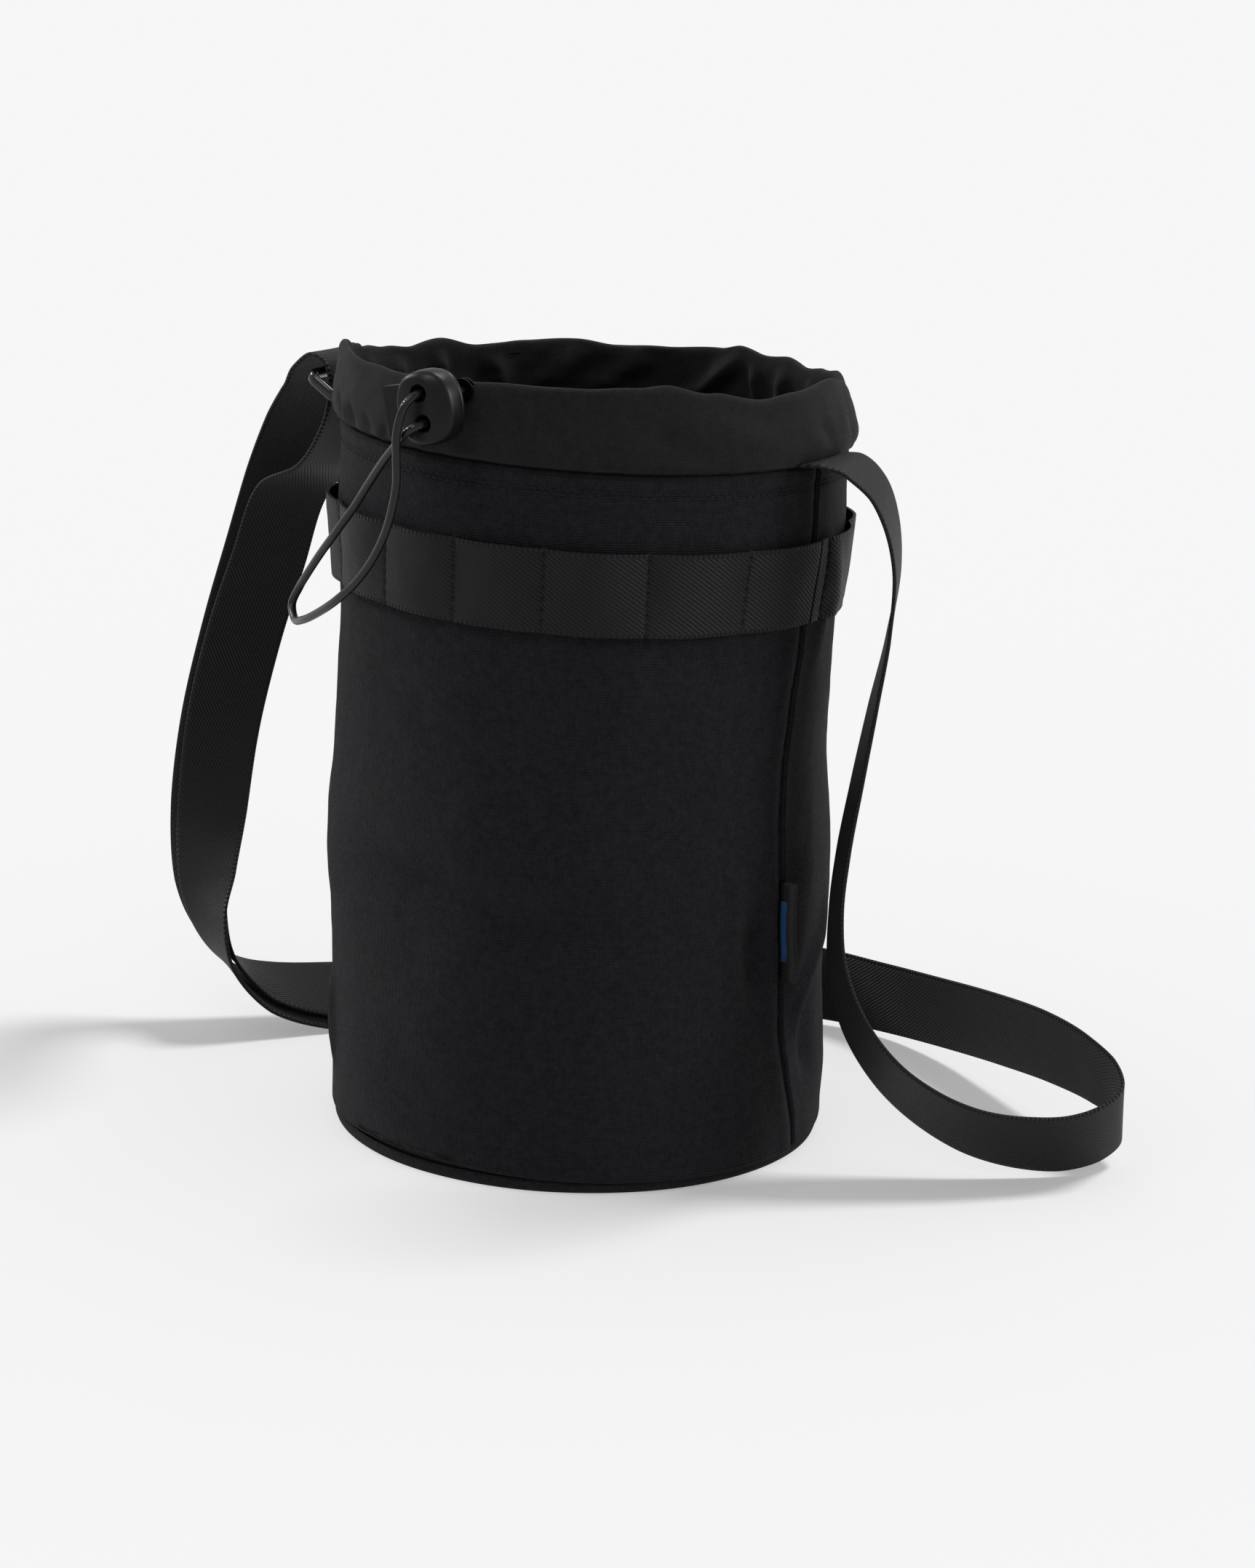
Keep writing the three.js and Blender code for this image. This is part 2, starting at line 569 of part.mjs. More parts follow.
// A rectangle from x0 to x1 with rounded corners, drawn into a shape or a hole.
function roundedRectangle(x0, x1, halfHeight, corner, path) {
  path.moveTo(x0 + corner, -halfHeight);
  path.lineTo(x1 - corner, -halfHeight);
  path.absarc(x1 - corner, -halfHeight + corner, corner, -Math.PI / 2, 0, false);
  path.lineTo(x1, halfHeight - corner);
  path.absarc(x1 - corner, halfHeight - corner, corner, 0, Math.PI / 2, false);
  path.lineTo(x0 + corner, halfHeight);
  path.absarc(x0 + corner, halfHeight - corner, corner, Math.PI / 2, Math.PI, false);
  path.lineTo(x0, -halfHeight + corner);
  path.absarc(x0 + corner, -halfHeight + corner, corner, Math.PI, 1.5 * Math.PI, false);
  return path;
}

// The tab goes out under the ring's inner bar, round it and back in above.
function addRingTab() {
  const { x, y: z } = RING_INNER;
  const wrap = 3.8;
  const route = [
    [-92.4, 270.2], [-96, 269.3], [x + 4.2, z - 1.8], [x + 2.2, z - wrap + 0.8], [x, z - wrap],
    [x - 2.7, z - 2.7], [x - wrap, z], [x - 2.7, z + 2.7], [x, z + wrap],
    [x + 3.5, z + wrap + 0.2], [-96, 271.7], [-92.4, 271.7],
  ].map(([px, pz]) => [px, 0, pz, 0, -1, 0]);
  add("ring_tab", ribbon(route, 2, WEBBING_WIDTH, 0.9), webbingCloth);
}

function addStrap() {
  add("shoulder_strap", ribbon(STRAP_ROUTE, 2), webbingCloth);

  const beside = RETURN_OFFSETS.map(([gap, shift], i) => {
    const { point, edge, face } = frameAt(STRAP_ROUTE, RETURN_FIRST_POINT - i);
    point.addScaledVector(face, gap).addScaledVector(edge, -shift);
    return [point.x, point.y, point.z, edge.x, edge.y, edge.z];
  });
  const slider = sliderFrame();
  // Round the slider's middle bar and back on itself.
  const foldPoints = [[5, 2], [0, 1.9], [-2.3, 2.4], [-3, 4.6], [-2.3, 6.8], [0, 7.3], [5, 7.2], [10, 5.6], [16, 4.2]]
    .map(([along, face]) => {
      const point = SLIDER_CENTRE.clone()
        .addScaledVector(slider.along, along)
        .addScaledVector(slider.face, face);
      return [point.x, point.y, point.z, slider.edge.x, slider.edge.y, slider.edge.z];
    });
  // Laid in the strap's own direction, so that the two layers are faceted alike where they lie together.
  const route = [...RETURN_TOP, ...beside, ...foldPoints].reverse();
  add("strap_return", ribbon(route, 2), webbingCloth);
}

// The slider's axes: along the strap towards the ring, towards its upper edge, and out of its rear face.
function sliderFrame() {
  const along = SLIDER_ALONG.clone();
  const outward = new THREE.Vector3(along.y, -along.x, 0);
  const edge = new THREE.Vector3(0, 0, Math.cos(SLIDER_LEAN)).addScaledVector(outward, Math.sin(SLIDER_LEAN));
  return { along, edge, face: along.clone().cross(edge) };
}

function addSlider() {
  const railInner = WEBBING_WIDTH / 2 + 0.4;
  const railOuter = railInner + SLIDER_RAIL;
  const halfLength = SLIDER_LENGTH / 2;
  const rails = [-1, 1].map((side) => {
    const [low, high] = side < 0 ? [-railOuter, -railInner] : [railInner, railOuter];
    return block(-halfLength, halfLength, low, high, -3.9, 6);
  });
  const overlap = 0.5;
  const reach = railInner + overlap;
  const ends = [-1, 1].map((side) => {
    const middle = side * (halfLength - SLIDER_BAR / 2);
    return block(middle - SLIDER_BAR / 2, middle + SLIDER_BAR / 2, -reach, reach, -3.9, -1.3);
  });
  const middleBar = block(-SLIDER_BAR / 2, SLIDER_BAR / 2, -reach, reach, 3.3, 5.9);
  const slider = add("strap_slider", join(rails[0], rails[1], middleBar, ...ends), lockPlastic);
  const { along, edge, face } = sliderFrame();
  slider.applyMatrix4(new THREE.Matrix4().makeBasis(along, edge, face).setPosition(SLIDER_CENTRE));
}

addBody();
addLadder();
addLabel();
addCollar();
addEyelet("cord_eyelet_left", -EYELET_X);
addEyelet("cord_eyelet_right", EYELET_X);
addChannelCord("channel_cord_left", -1);
addChannelCord("channel_cord_right", 1);
addCrimp();
addExitStrands();
addCordLock();
add("drawcord_loop", cordTube(LOOP_ROUTE, 78), cordCloth);
addRing();
addRingTab();
addStrap();
addSlider();

export default bag;
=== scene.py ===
"""The looks of a rope storage bag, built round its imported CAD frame.

Blender works in metres, +Z up, with the origin at the middle of the bag's base. -Y is the front, where
the cord lock hangs, and +X is the side where the shoulder strap is sewn in. Shapes are worked out in
millimetres, and in degrees measured from the front towards +X. They are turned into metres when a mesh
is made.
"""

import math

import bmesh
import bpy
from mathutils import Matrix, Vector, noise


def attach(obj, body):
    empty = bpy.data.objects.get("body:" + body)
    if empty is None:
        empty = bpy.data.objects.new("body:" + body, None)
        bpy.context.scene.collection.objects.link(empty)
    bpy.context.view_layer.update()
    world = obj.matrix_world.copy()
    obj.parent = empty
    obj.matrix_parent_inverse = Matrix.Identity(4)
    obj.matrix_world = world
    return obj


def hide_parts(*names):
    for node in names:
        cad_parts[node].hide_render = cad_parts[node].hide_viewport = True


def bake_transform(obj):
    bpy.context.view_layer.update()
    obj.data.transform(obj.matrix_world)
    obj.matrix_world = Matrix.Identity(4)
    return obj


MM = 0.001

# ---- sizes in millimetres, as in the CAD part ----
BODY_RADIUS = 93.6
HEM_TOP = 266.4
COLLAR_TOP = 297.5
LEAN = 0.033
LEAN_X = 0.85
LEAN_Y = 0.53
LADDER_BOTTOM = 209.0
LADDER_RADIUS = 94.2
WEBBING_WIDTH = 30.0
WEBBING = 1.4
CORD_RADIUS = 1.5
CHANNEL_RADIUS = 91.8
LOCK_CENTRE = (0.0, -108.0, 288.0)
LOCK_ROLL = -12.0
LOCK_HALF_WIDTH = 11.0
LOCK_HALF_HEIGHT = 13.2
LOCK_THICKNESS = 12.4
LOCK_HOLE_OFFSET = 5.3
LOCK_HOLE_RADIUS = 2.2
PLUNGER_HEIGHT = 18.0
PLUNGER_THICKNESS = 5.6
POCKET_RIGHT = 7.8
SLOT_CLEARANCE = 0.2
SPRING_ENDS = (-3.45, 7.25)
SPRING_WIRE = 0.25
SPRING_TURNS = 6
RING_INNER = (-104.5, 267.5)
RING_OUTER = (-117.5, 275.5)
RING_BAR = 3.0
RING_HEIGHT = 4.5
RING_CLEAR_WIDTH = 33.0
RING_CORNER = 4.0
SLIDER_CENTRE = (-45.0, 112.0, 20.5)
SLIDER_ALONG = (-0.8, -0.6, 0.0)
SLIDER_LEAN = 25.0
LABEL_BOTTOM = 73.0
LABEL_HEIGHT = 39.0
LABEL_ANGLE = 90.7
LINING_RADIUS = 90.4
LINING_DEPTH = 2.6  # from the wall's outer face to the middle of the lining
TAPE_RADIUS = 88.9
FOLD_STRENGTH = 2.0
HEM_STITCH_PITCH = 3.1
LADDER_STITCH_PITCH = 3.9
LADDER_STITCH_START = 3.0
LADDER_STITCH_COUNT = 7
STRAP_STITCH_PITCH = 3.5
STRAP_STITCH_COUNT = 8

# ---- camera ----
CAMERA_PLACE = (0.8015, -1.2824, 0.5275)
CAMERA_RIGHT = (0.8490, 0.5275, 0.0304)
CAMERA_UP = (-0.1589, 0.2000, 0.9668)
CAMERA_LENS = 95.06

# ---- routes, as in the CAD part: x, y, z and, for webbing, the direction of one edge ----
STRAP_ROUTE = [
    (92.3, 0, 265.4, 0, -1, 0),
    (96, 0, 265.8, 0, -1, 0),
    (100, 1, 266, 0, -1, 0),
    (107, 4, 264.5, 0.1, -1, 0),
    (114, 8, 258, 0.25, -0.97, 0),
    (119, 11, 246, 0.32, -0.94, 0.06),
    (121.5, 13, 228, 0.4, -0.9, 0.14),
    (120, 12, 203, 0.48, -0.85, 0.2),
    (116.5, 9, 176, 0.54, -0.81, 0.22),
    (113, 6, 148, 0.57, -0.79, 0.23),
    (110.5, 2.5, 122, 0.58, -0.77, 0.26),
    (110, 0, 100, 0.58, -0.76, 0.3),
    (113, -2, 78, 0.6, -0.7, 0.38),
    (121, -2, 59, 0.63, -0.64, 0.44),
    (133, 2, 42, 0.6, -0.58, 0.55),
    (147, 9, 29.5, 0.54, -0.52, 0.66),
    (162, 18, 21, 0.42, -0.48, 0.77),
    (177, 30, 16.5, 0.3, -0.45, 0.84),
    (189, 42, 15.5, 0.22, -0.44, 0.87),
    (197, 54, 18, 0.18, -0.44, 0.88),
    (199, 65, 22, 0.18, -0.43, 0.88),
    (191, 76, 27, 0.16, -0.42, 0.9),
    (175, 86, 30, 0.04, -0.28, 0.96),
    (151, 101, 29.5, -0.08, -0.12, 0.99),
    (118, 122, 25, -0.12, -0.06, 0.99),
    (84, 141, 20, -0.12, -0.06, 0.99),
    (51, 153, 17, -0.1, -0.04, 0.99),
    (20, 154, 17, -0.12, 0.06, 0.98),
    (-9, 139, 19, -0.22, 0.26, 0.93),
    (-21, 130, 20.5, -0.254, 0.338, 0.906),
    (-33, 121, 20.5, -0.254, 0.338, 0.906),
    (-45, 112, 20.5, -0.254, 0.338, 0.906),
    (-57, 103, 20.5, -0.254, 0.338, 0.906),
    (-69, 94, 20.5, -0.254, 0.338, 0.906),
    (-81, 85, 20, -0.27, 0.38, 0.88),
    (-101, 68, 16.5, -0.4, 0.5, 0.76),
    (-122, 50, 14, -0.48, 0.62, 0.62),
    (-141, 34, 13.5, -0.55, 0.67, 0.5),
    (-158, 16, 18.5, -0.67, 0.69, 0.25),
    (-169, 6, 28, -0.66, 0.72, -0.18),
    (-178, 3, 42, -0.8, 0.42, -0.4),
    (-185, 6, 60, -0.92, 0, -0.34),
    (-190, 14, 88, -0.93, -0.32, -0.15),
    (-189.5, 21, 122, -0.88, -0.47, 0.08),
    (-182, 25, 160, -0.78, -0.6, 0.18),
    (-170, 24, 196, -0.67, -0.72, 0.18),
    (-157, 20, 229, -0.57, -0.8, 0.13),
    (-144, 14, 254, -0.44, -0.89, 0.03),
    (-133, 7, 270, -0.2, -0.97, -0.02),
    (-126, 2, 278.5, -0.05, -1, 0),
    (-118.5, 0, 282.8, 0, -1, 0),
    (-113, 0, 280.5, 0, -1, 0),
    (-110.6, 0, 275.5, 0, -1, 0),
    (-110.3, 0, 272.6, 0, -1, 0),
]
RETURN_TOP = [
    (-110.3, 0, 272, 0, -1, 0),
    (-110.8, 0, 266, 0, -1, 0),
    (-114.5, 2, 254, -0.1, -1, 0),
    (-125, 6, 238, -0.3, -0.95, 0),
]
RETURN_FIRST_POINT = 46  # where the returning layer starts to lie beside the strap
RETURN_OFFSETS = [  # in front of the strap, and towards its lower edge
    (15, 0), (12, 1), (8, 2), (4.5, 3), (2.7, 4), (2.7, 4.5), (2.9, 5), (3.1, 5), (2.9, 5), (2.6, 4.5),
    (2.4, 3), (2.4, 1.5), (2.4, 0.5), (2.3, 0), (2.1, 0),
]
RETURN_FOLD = [  # round the slider's middle bar: along the strap, and out from its face
    (5, 2), (0, 1.9), (-2.3, 2.4), (-3, 4.6), (-2.3, 6.8), (0, 7.3), (5, 7.2), (10, 5.6), (16, 4.2),
]
LOOP_ROUTE = [
    (-1.1, -103.4, 293.2),
    (-1.1, -106, 293.2),
    (-1.1, -111, 293.2),
    (-1.3, -114.8, 292.9),
    (-3.2, -118.8, 289.5),
    (-5, -121, 280),
    (-5, -121, 271),
    (-5.5, -120, 262),
    (-8, -119, 252),
    (-12.5, -117, 242),
    (-19, -115, 232),
    (-27, -113, 223),
    (-37, -110, 215),
    (-48.5, -104.5, 208),
    (-61, -97.5, 202),
    (-69.5, -91, 200),
    (-74, -86.5, 204.5),
    (-70.5, -87, 211),
    (-65, -90, 217),
    (-55, -95.5, 227),
    (-44, -101, 237.5),
    (-34, -104, 248.5),
    (-26, -107, 258),
    (-17.5, -111, 267),
    (-10, -114.5, 274),
    (-4, -117.6, 279.2),
    (-0.4, -117, 281.8),
    (1, -114, 282.7),
    (1.1, -110, 282.8),
    (1.1, -106, 282.8),
    (1.1, -103.4, 282.8),
]
EXIT_UPPER = [
    (-13.8, -90.8, 292.9),
    (-10.5, -91.1, 292.8),
    (-7.8, -91.8, 292.7),
    (-5.7, -93.3, 292.7),
    (-5, -95.1, 292.7),
    (-4.4, -97.5, 292.9),
    (-2.4, -99.3, 293.2),
    (-1.1, -101, 293.2),
    (-1.1, -103, 293.2),
]
EXIT_LOWER = [
    (13.8, -90.8, 292.3),
    (10.5, -91.1, 292.4),
    (7.8, -91.8, 292.6),
    (5.7, -93.3, 292.7),
    (5, -95.1, 292.7),
    (4.4, -97.6, 291.7),
    (2.8, -98.6, 288.2),
    (1.6, -99.4, 283.8),
    (1.1, -101, 282.8),
    (1.1, -103, 282.8),
]
RING_TAB_ROUTE = [
    (-92.4, 270.2), (-96, 269.3), (-100.3, 265.7), (-102.3, 264.5), (-104.5, 263.7), (-107.2, 264.8),
    (-108.3, 267.5), (-107.2, 270.2), (-104.5, 271.3), (-101, 271.5), (-96, 271.7), (-92.4, 271.7),
]

# ---- how the cloth lies: folds as [points of (angle, height)], width, height above the cloth ----
BODY_FOLDS = [
    ([(-41, 126), (-15, 134), (2, 131), (17, 124), (38, 120), (56, 122)], 11, 1.1),
    ([(-45, 101), (-15, 110), (0, 108), (17, 101), (40, 98), (56, 101)], 8, -1.9),
    ([(-50, 64), (-47, 40), (-44, 20)], 3.2, 1.2),
    ([(-60, 56), (-54, 34), (-50, 16)], 5, -0.9),
    ([(116, 104), (108, 84), (98, 62), (95, 40)], 3.4, 1.7),
    ([(108, 66), (102, 48), (99, 26)], 6, -2.0),
    ([(82, 104), (80, 88), (81, 72)], 6, -1.5),
    ([(76, 128), (74, 92), (77, 60)], 5, 0.7),
    ([(96, 246), (101, 215), (98, 185)], 5, 0.8),
    ([(60, 200), (40, 186), (15, 182)], 14, 0.7),
    ([(-60, 196), (-40, 186), (-15, 188)], 12, -0.6),
    ([(70, 60), (40, 46), (10, 50)], 12, 0.6),
    ([(160, 150), (185, 120), (215, 128)], 12, -1.4),
    ([(150, 80), (190, 70), (230, 90)], 12, 1.1),
    ([(244, 180), (236, 140), (240, 100)], 7, 1.0),
]
BODY_BULGES = [  # angle, height, width in degrees, width in mm, bulge
    (-61, 110, 26, 36, 2.6),
    (122, 162, 24, 40, -3.3),
    (122, 60, 24, 24, -0.8),
    (30, 150, 40, 50, 0.6),
]
RIM_HEIGHTS = [  # angle and height of the collar's rim
    (-180, 286), (-165, 284.5), (-153, 284), (-143, 286), (-130, 285.5), (-117, 284.5), (-106, 288),
    (-97, 286), (-88, 287.5), (-78, 289.5), (-68, 293), (-57, 297), (-45, 296.5), (-26, 295.3),
    (-13, 294.6), (0, 295.6), (15, 296.2), (30, 296), (40, 296.6), (47, 297.4), (58, 294),
    (72, 290.8), (80, 292), (97, 293.6), (108, 290), (120, 287), (128, 288.5), (140, 286.5),
    (150, 284.5), (158, 287), (166, 285.5), (174, 288), (180, 286),
]
INNER_FOLDS = [  # folds of the gathered collar, which stand in towards the middle
    ([(255, 292), (254, 262)], 3.6, 4.2),
    ([(240, 292), (235, 262)], 4.6, 3.6),
    ([(216, 294), (229, 262)], 5.2, 3.4),
    ([(199, 294), (213, 262)], 6.0, 3.2),
    ([(173, 294), (190, 262)], 4.6, 5.0),
    ([(169, 292), (168, 262)], 2.8, 3.4),
    ([(158, 292), (161, 262)], 4.0, 3.8),
    ([(146, 292), (143, 262)], 3.6, 3.4),
    ([(130, 294), (127, 262)], 4.6, 3.0),
    ([(112, 294), (115, 262)], 4.0, 2.4),
    ([(268, 292), (269, 262)], 4.0, 2.6),
    ([(283, 294), (280, 262)], 4.0, 2.2),
]
COLLAR_FOLDS = [  # on the outside of the collar
    ([(38, 285), (52, 276), (62, 270)], 4.5, -1.2),
    ([(44, 290), (66, 284), (82, 276)], 6, 0.9),
    ([(-44, 282), (-38, 270)], 2.2, -1.0),
    ([(-35, 280), (-31, 269)], 1.8, -1.1),
    ([(-27, 278), (-24, 269)], 2.0, -0.9),
    ([(-18, 276), (-19, 269)], 2.0, -0.7),
    ([(-39, 279), (-35, 269)], 2.0, 0.8),
    ([(88, 286), (96, 272)], 3.4, -1.0),
    ([(104, 284), (112, 270)], 3.6, -1.2),
    ([(-62, 288), (-70, 270)], 4, -0.8),
    ([(150, 280), (160, 270)], 4, -1.2),
    ([(190, 280), (180, 270)], 4, -1.2),
    ([(220, 278), (232, 268)], 4, -1.2),
    ([(260, 280), (255, 268)], 4, -1.2),
]
SEAM_BOW = [(0, 3.0), (56, -4.6), (130, -7.8), (262, 1.0)]  # height, degrees
LADDER_STITCHES = [
    -85, -62.5, -40.5, -18.6, 1.4, 22, 44.4, 68.2,
    95, 117, 139, 161, 183, 205, 227, 249,
]
HEM_STITCH_HEIGHTS = (259.9, 258.3)

# ---- colours ----
PACK_CLOTH = (0.0084, 0.0077, 0.0096)
COLLAR_CLOTH = (0.0096, 0.0086, 0.0090)
LINING_CLOTH = (0.0170, 0.0155, 0.0163)
WEBBING_CLOTH = (0.0056, 0.0052, 0.0063)
THREAD = (0.0105, 0.0098, 0.0115)
CORD_CLOTH = (0.0050, 0.0050, 0.0054)
LABEL_TAPE = (0.0110, 0.0110, 0.0120)
LABEL_BLUE = (0.0110, 0.0400, 0.1050)
BLACK_PLASTIC = (0.0040, 0.0040, 0.0044)
BOARD = (0.03, 0.03, 0.032)
STEEL = (0.55, 0.56, 0.57)
FLOOR = 0.5
FLOOR_GLOW = 0.27
SKY = 0.6

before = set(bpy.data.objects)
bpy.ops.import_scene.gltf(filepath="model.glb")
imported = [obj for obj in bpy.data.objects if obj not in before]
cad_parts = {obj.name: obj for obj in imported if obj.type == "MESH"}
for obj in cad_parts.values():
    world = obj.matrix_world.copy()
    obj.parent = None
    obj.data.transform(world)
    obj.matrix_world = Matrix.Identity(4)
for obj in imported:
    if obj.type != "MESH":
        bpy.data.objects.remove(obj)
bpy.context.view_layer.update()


# ---- small helpers ----
def clamp(value, low=0.0, high=1.0):
    return max(low, min(high, value))


def smooth(value, low, high):
    """0 below low, 1 above high, and a smooth rise between."""
    share = clamp((value - low) / (high - low))
    return share * share * (3 - 2 * share)


def bell(distance, width):
    return math.exp(-((distance / width) ** 2))


def turn(angle):
    """The angle between -180 and 180."""
    return (angle + 180.0) % 360.0 - 180.0


def spans(low, high, step):
    """Even values from low to high, or down from high to low, about step apart."""
    count = max(1, round(abs(high - low) / step))
    return [low + (high - low) * i / count for i in range(count + 1)]


def roughness_of(x, y, z, size):
    """Smooth random bumps about size across, between -1 and 1."""
    return noise.noise(Vector((x, y, z)) / size)


def table_value(table, angle):
    """A smooth value from a table of (angle, value) that runs from -180 to 180."""
    angle = turn(angle)
    for (a0, v0), (a1, v1) in zip(table, table[1:]):
        if angle <= a1:
            return v0 + (v1 - v0) * smooth(angle, a0, a1)
    return table[-1][1]


def fold_height(folds, angle, z, radius=BODY_RADIUS):
    """The sum of the folds at one place on the cloth. Each fold fades towards its ends."""
    total = 0.0
    for points, width, height in folds:
        nearest, travelled, at = 1e9, 0.0, 0.0
        for (a0, z0), (a1, z1) in zip(points, points[1:]):
            ax = math.radians(turn(angle - a0)) * radius
            bx = math.radians(a1 - a0) * radius
            ay, by = z - z0, z1 - z0
            length = math.hypot(bx, by)
            share = clamp((ax * bx + ay * by) / (length * length))
            away = math.hypot(ax - share * bx, ay - share * by)
            if away < nearest:
                nearest, at = away, travelled + share * length
            travelled += length
        if nearest < 3 * width:
            fade = smooth(min(at, travelled - at), -0.5 * width, 0.4 * travelled)
            total += height * fade * bell(nearest, width)
    return total


def round_the_bag(angle, radius, z):
    """A point in millimetres on the leaning body."""
    x = radius * math.sin(math.radians(angle))
    y = -radius * math.cos(math.radians(angle))
    return x, y, z * (1 - (LEAN / HEM_TOP) * (LEAN_X * x + LEAN_Y * y))


def smooth_path(points, steps):
    """Points on a centripetal Catmull-Rom curve through the given points."""
    points = [Vector(p) for p in points]
    points = [2 * points[0] - points[1], *points, 2 * points[-1] - points[-2]]
    path = []
    for p0, p1, p2, p3 in zip(points, points[1:], points[2:], points[3:]):
        gaps = [max((b - a).length, 1e-6) ** 0.5 for a, b in ((p0, p1), (p1, p2), (p2, p3))]
        t1, t2, t3 = gaps[0], gaps[0] + gaps[1], sum(gaps)
        for i in range(steps):
            t = t1 + gaps[1] * i / steps
            a = p0 * ((t1 - t) / t1) + p1 * (t / t1)
            b = p1 * ((t2 - t) / gaps[1]) + p2 * ((t - t1) / gaps[1])
            c = p2 * ((t3 - t) / gaps[2]) + p3 * ((t - t2) / gaps[2])
            ab = a * ((t2 - t) / t2) + b * (t / t2)
            bc = b * ((t3 - t) / (t3 - t1)) + c * ((t - t1) / (t3 - t1))
            path.append(ab * ((t2 - t) / gaps[1]) + bc * ((t - t1) / gaps[1]))
    path.append(points[-2])
    return path


def even_path(points, step):
    """The same line with points a steady step apart."""
    lengths = [0.0]
    for a, b in zip(points, points[1:]):
        lengths.append(lengths[-1] + (b - a).length)
    wanted = spans(0.0, lengths[-1], step)
    path, i = [], 0
    for length in wanted:
        while i < len(lengths) - 2 and lengths[i + 1] < length:
            i += 1
        share = clamp((length - lengths[i]) / max(lengths[i + 1] - lengths[i], 1e-9))
        path.append(points[i].lerp(points[i + 1], share))
    return path


# ---- mesh makers ----
def mesh_object(name, points, faces, uvs, material):
    """A smooth mesh from points in millimetres.

    uvs holds, for each face, its corners' places on the flat cloth in metres.
    """
    mesh = bpy.data.meshes.new(name)
    mesh.from_pydata([Vector(p) * MM for p in points], [], faces)
    layer = mesh.uv_layers.new(name="cloth")
    flat = [coordinate for face in uvs for corner in face for coordinate in corner]
    layer.data.foreach_set("uv", flat)
    mesh.polygons.foreach_set("use_smooth", [True] * len(faces))
    mesh.materials.append(material)
    mesh.validate()
    obj = bpy.data.objects.new(name, mesh)
    bpy.context.scene.collection.objects.link(obj)
    return obj


def grid(name, columns, rows, place, material, closed=False, cloth=None):
    """A sheet of quads.

    place(column, row) gives a point, and cloth(column, row) its place on the flat cloth.
    """
    cloth = cloth or (lambda u, v: (u * MM, v * MM))
    wide, tall = len(columns), len(rows)
    points = [place(u, v) for v in rows for u in columns]
    faces, uvs = [], []
    for j in range(tall - 1):
        for i in range(wide if closed else wide - 1):
            after = (i + 1) % wide
            faces.append((j * wide + i, j * wide + after, (j + 1) * wide + after, (j + 1) * wide + i))
            u0 = columns[i]
            u1 = columns[i + 1] if i + 1 < wide else columns[0] + 360.0
            v0, v1 = rows[j], rows[j + 1]
            uvs.append((cloth(u0, v0), cloth(u1, v0), cloth(u1, v1), cloth(u0, v1)))
    return mesh_object(name, points, faces, uvs, material)


def thicken(obj, thickness, offset=-1.0):
    """Gives a sheet its thickness in millimetres."""
    modifier = obj.modifiers.new("thickness", "SOLIDIFY")
    modifier.thickness = thickness * MM
    modifier.offset = offset


def soften(obj, width, segments=2, angle=40):
    modifier = obj.modifiers.new("soft edges", "BEVEL")
    modifier.width = width * MM
    modifier.segments = segments
    modifier.limit_method = "ANGLE"
    modifier.angle_limit = math.radians(angle)


def ring_faces(rings, sides, across=None, along=None, closed=False):
    """Quads between rings of points, and caps on the ends of an open row of rings.

    across(side) and along(ring) give where a quad starts and ends on the flat cloth, in millimetres.
    """
    across = across or (lambda side: (0.0, 1.0))
    along = along or (lambda ring: (0.0, 1.0))
    faces, uvs = [], []
    for i in range(rings if closed else rings - 1):
        here, there = i * sides, (i + 1) % rings * sides
        v0, v1 = (v * MM for v in along(i))
        for k in range(sides):
            after = (k + 1) % sides
            faces.append((here + k, here + after, there + after, there + k))
            u0, u1 = (u * MM for u in across(k))
            uvs.append(((u0, v0), (u1, v0), (u1, v1), (u0, v1)))
    if not closed:
        first = tuple(reversed(range(sides)))
        last = tuple((rings - 1) * sides + k for k in range(sides))
        for cap in (first, last):
            faces.append(cap)
            uvs.append(tuple((0.0, 0.0) for _ in cap))
    return faces, uvs


def face_outwards(obj, join=0.0):
    """Turns the faces outwards, after joining points less than join millimetres apart."""
    work = bmesh.new()
    work.from_mesh(obj.data)
    if join:
        bmesh.ops.remove_doubles(work, verts=work.verts, dist=join * MM)
    bmesh.ops.recalc_face_normals(work, faces=work.faces)
    work.to_mesh(obj.data)
    work.free()


def tube(name, path, radius, sides, material):
    """A round tube with closed ends along a path of points."""
    points = []
    across = (path[1] - path[0]).orthogonal().normalized()
    along = 0.0
    lengths = []
    for i, centre in enumerate(path):
        before = path[max(i - 1, 0)]
        after = path[min(i + 1, len(path) - 1)]
        forward = (after - before).normalized()
        across = (across - forward * across.dot(forward)).normalized()
        up = forward.cross(across)
        if i:
            along += (centre - before).length
        lengths.append(along)
        for k in range(sides):
            angle = 2 * math.pi * k / sides
            points.append(centre + (across * math.cos(angle) + up * math.sin(angle)) * radius)
    girth = 2 * math.pi * radius
    faces, uvs = ring_faces(
        len(path),
        sides,
        across=lambda k: (girth * k / sides, girth * (k + 1) / sides),
        along=lambda i: (lengths[i], lengths[i + 1]),
    )
    return mesh_object(name, points, faces, uvs, material)


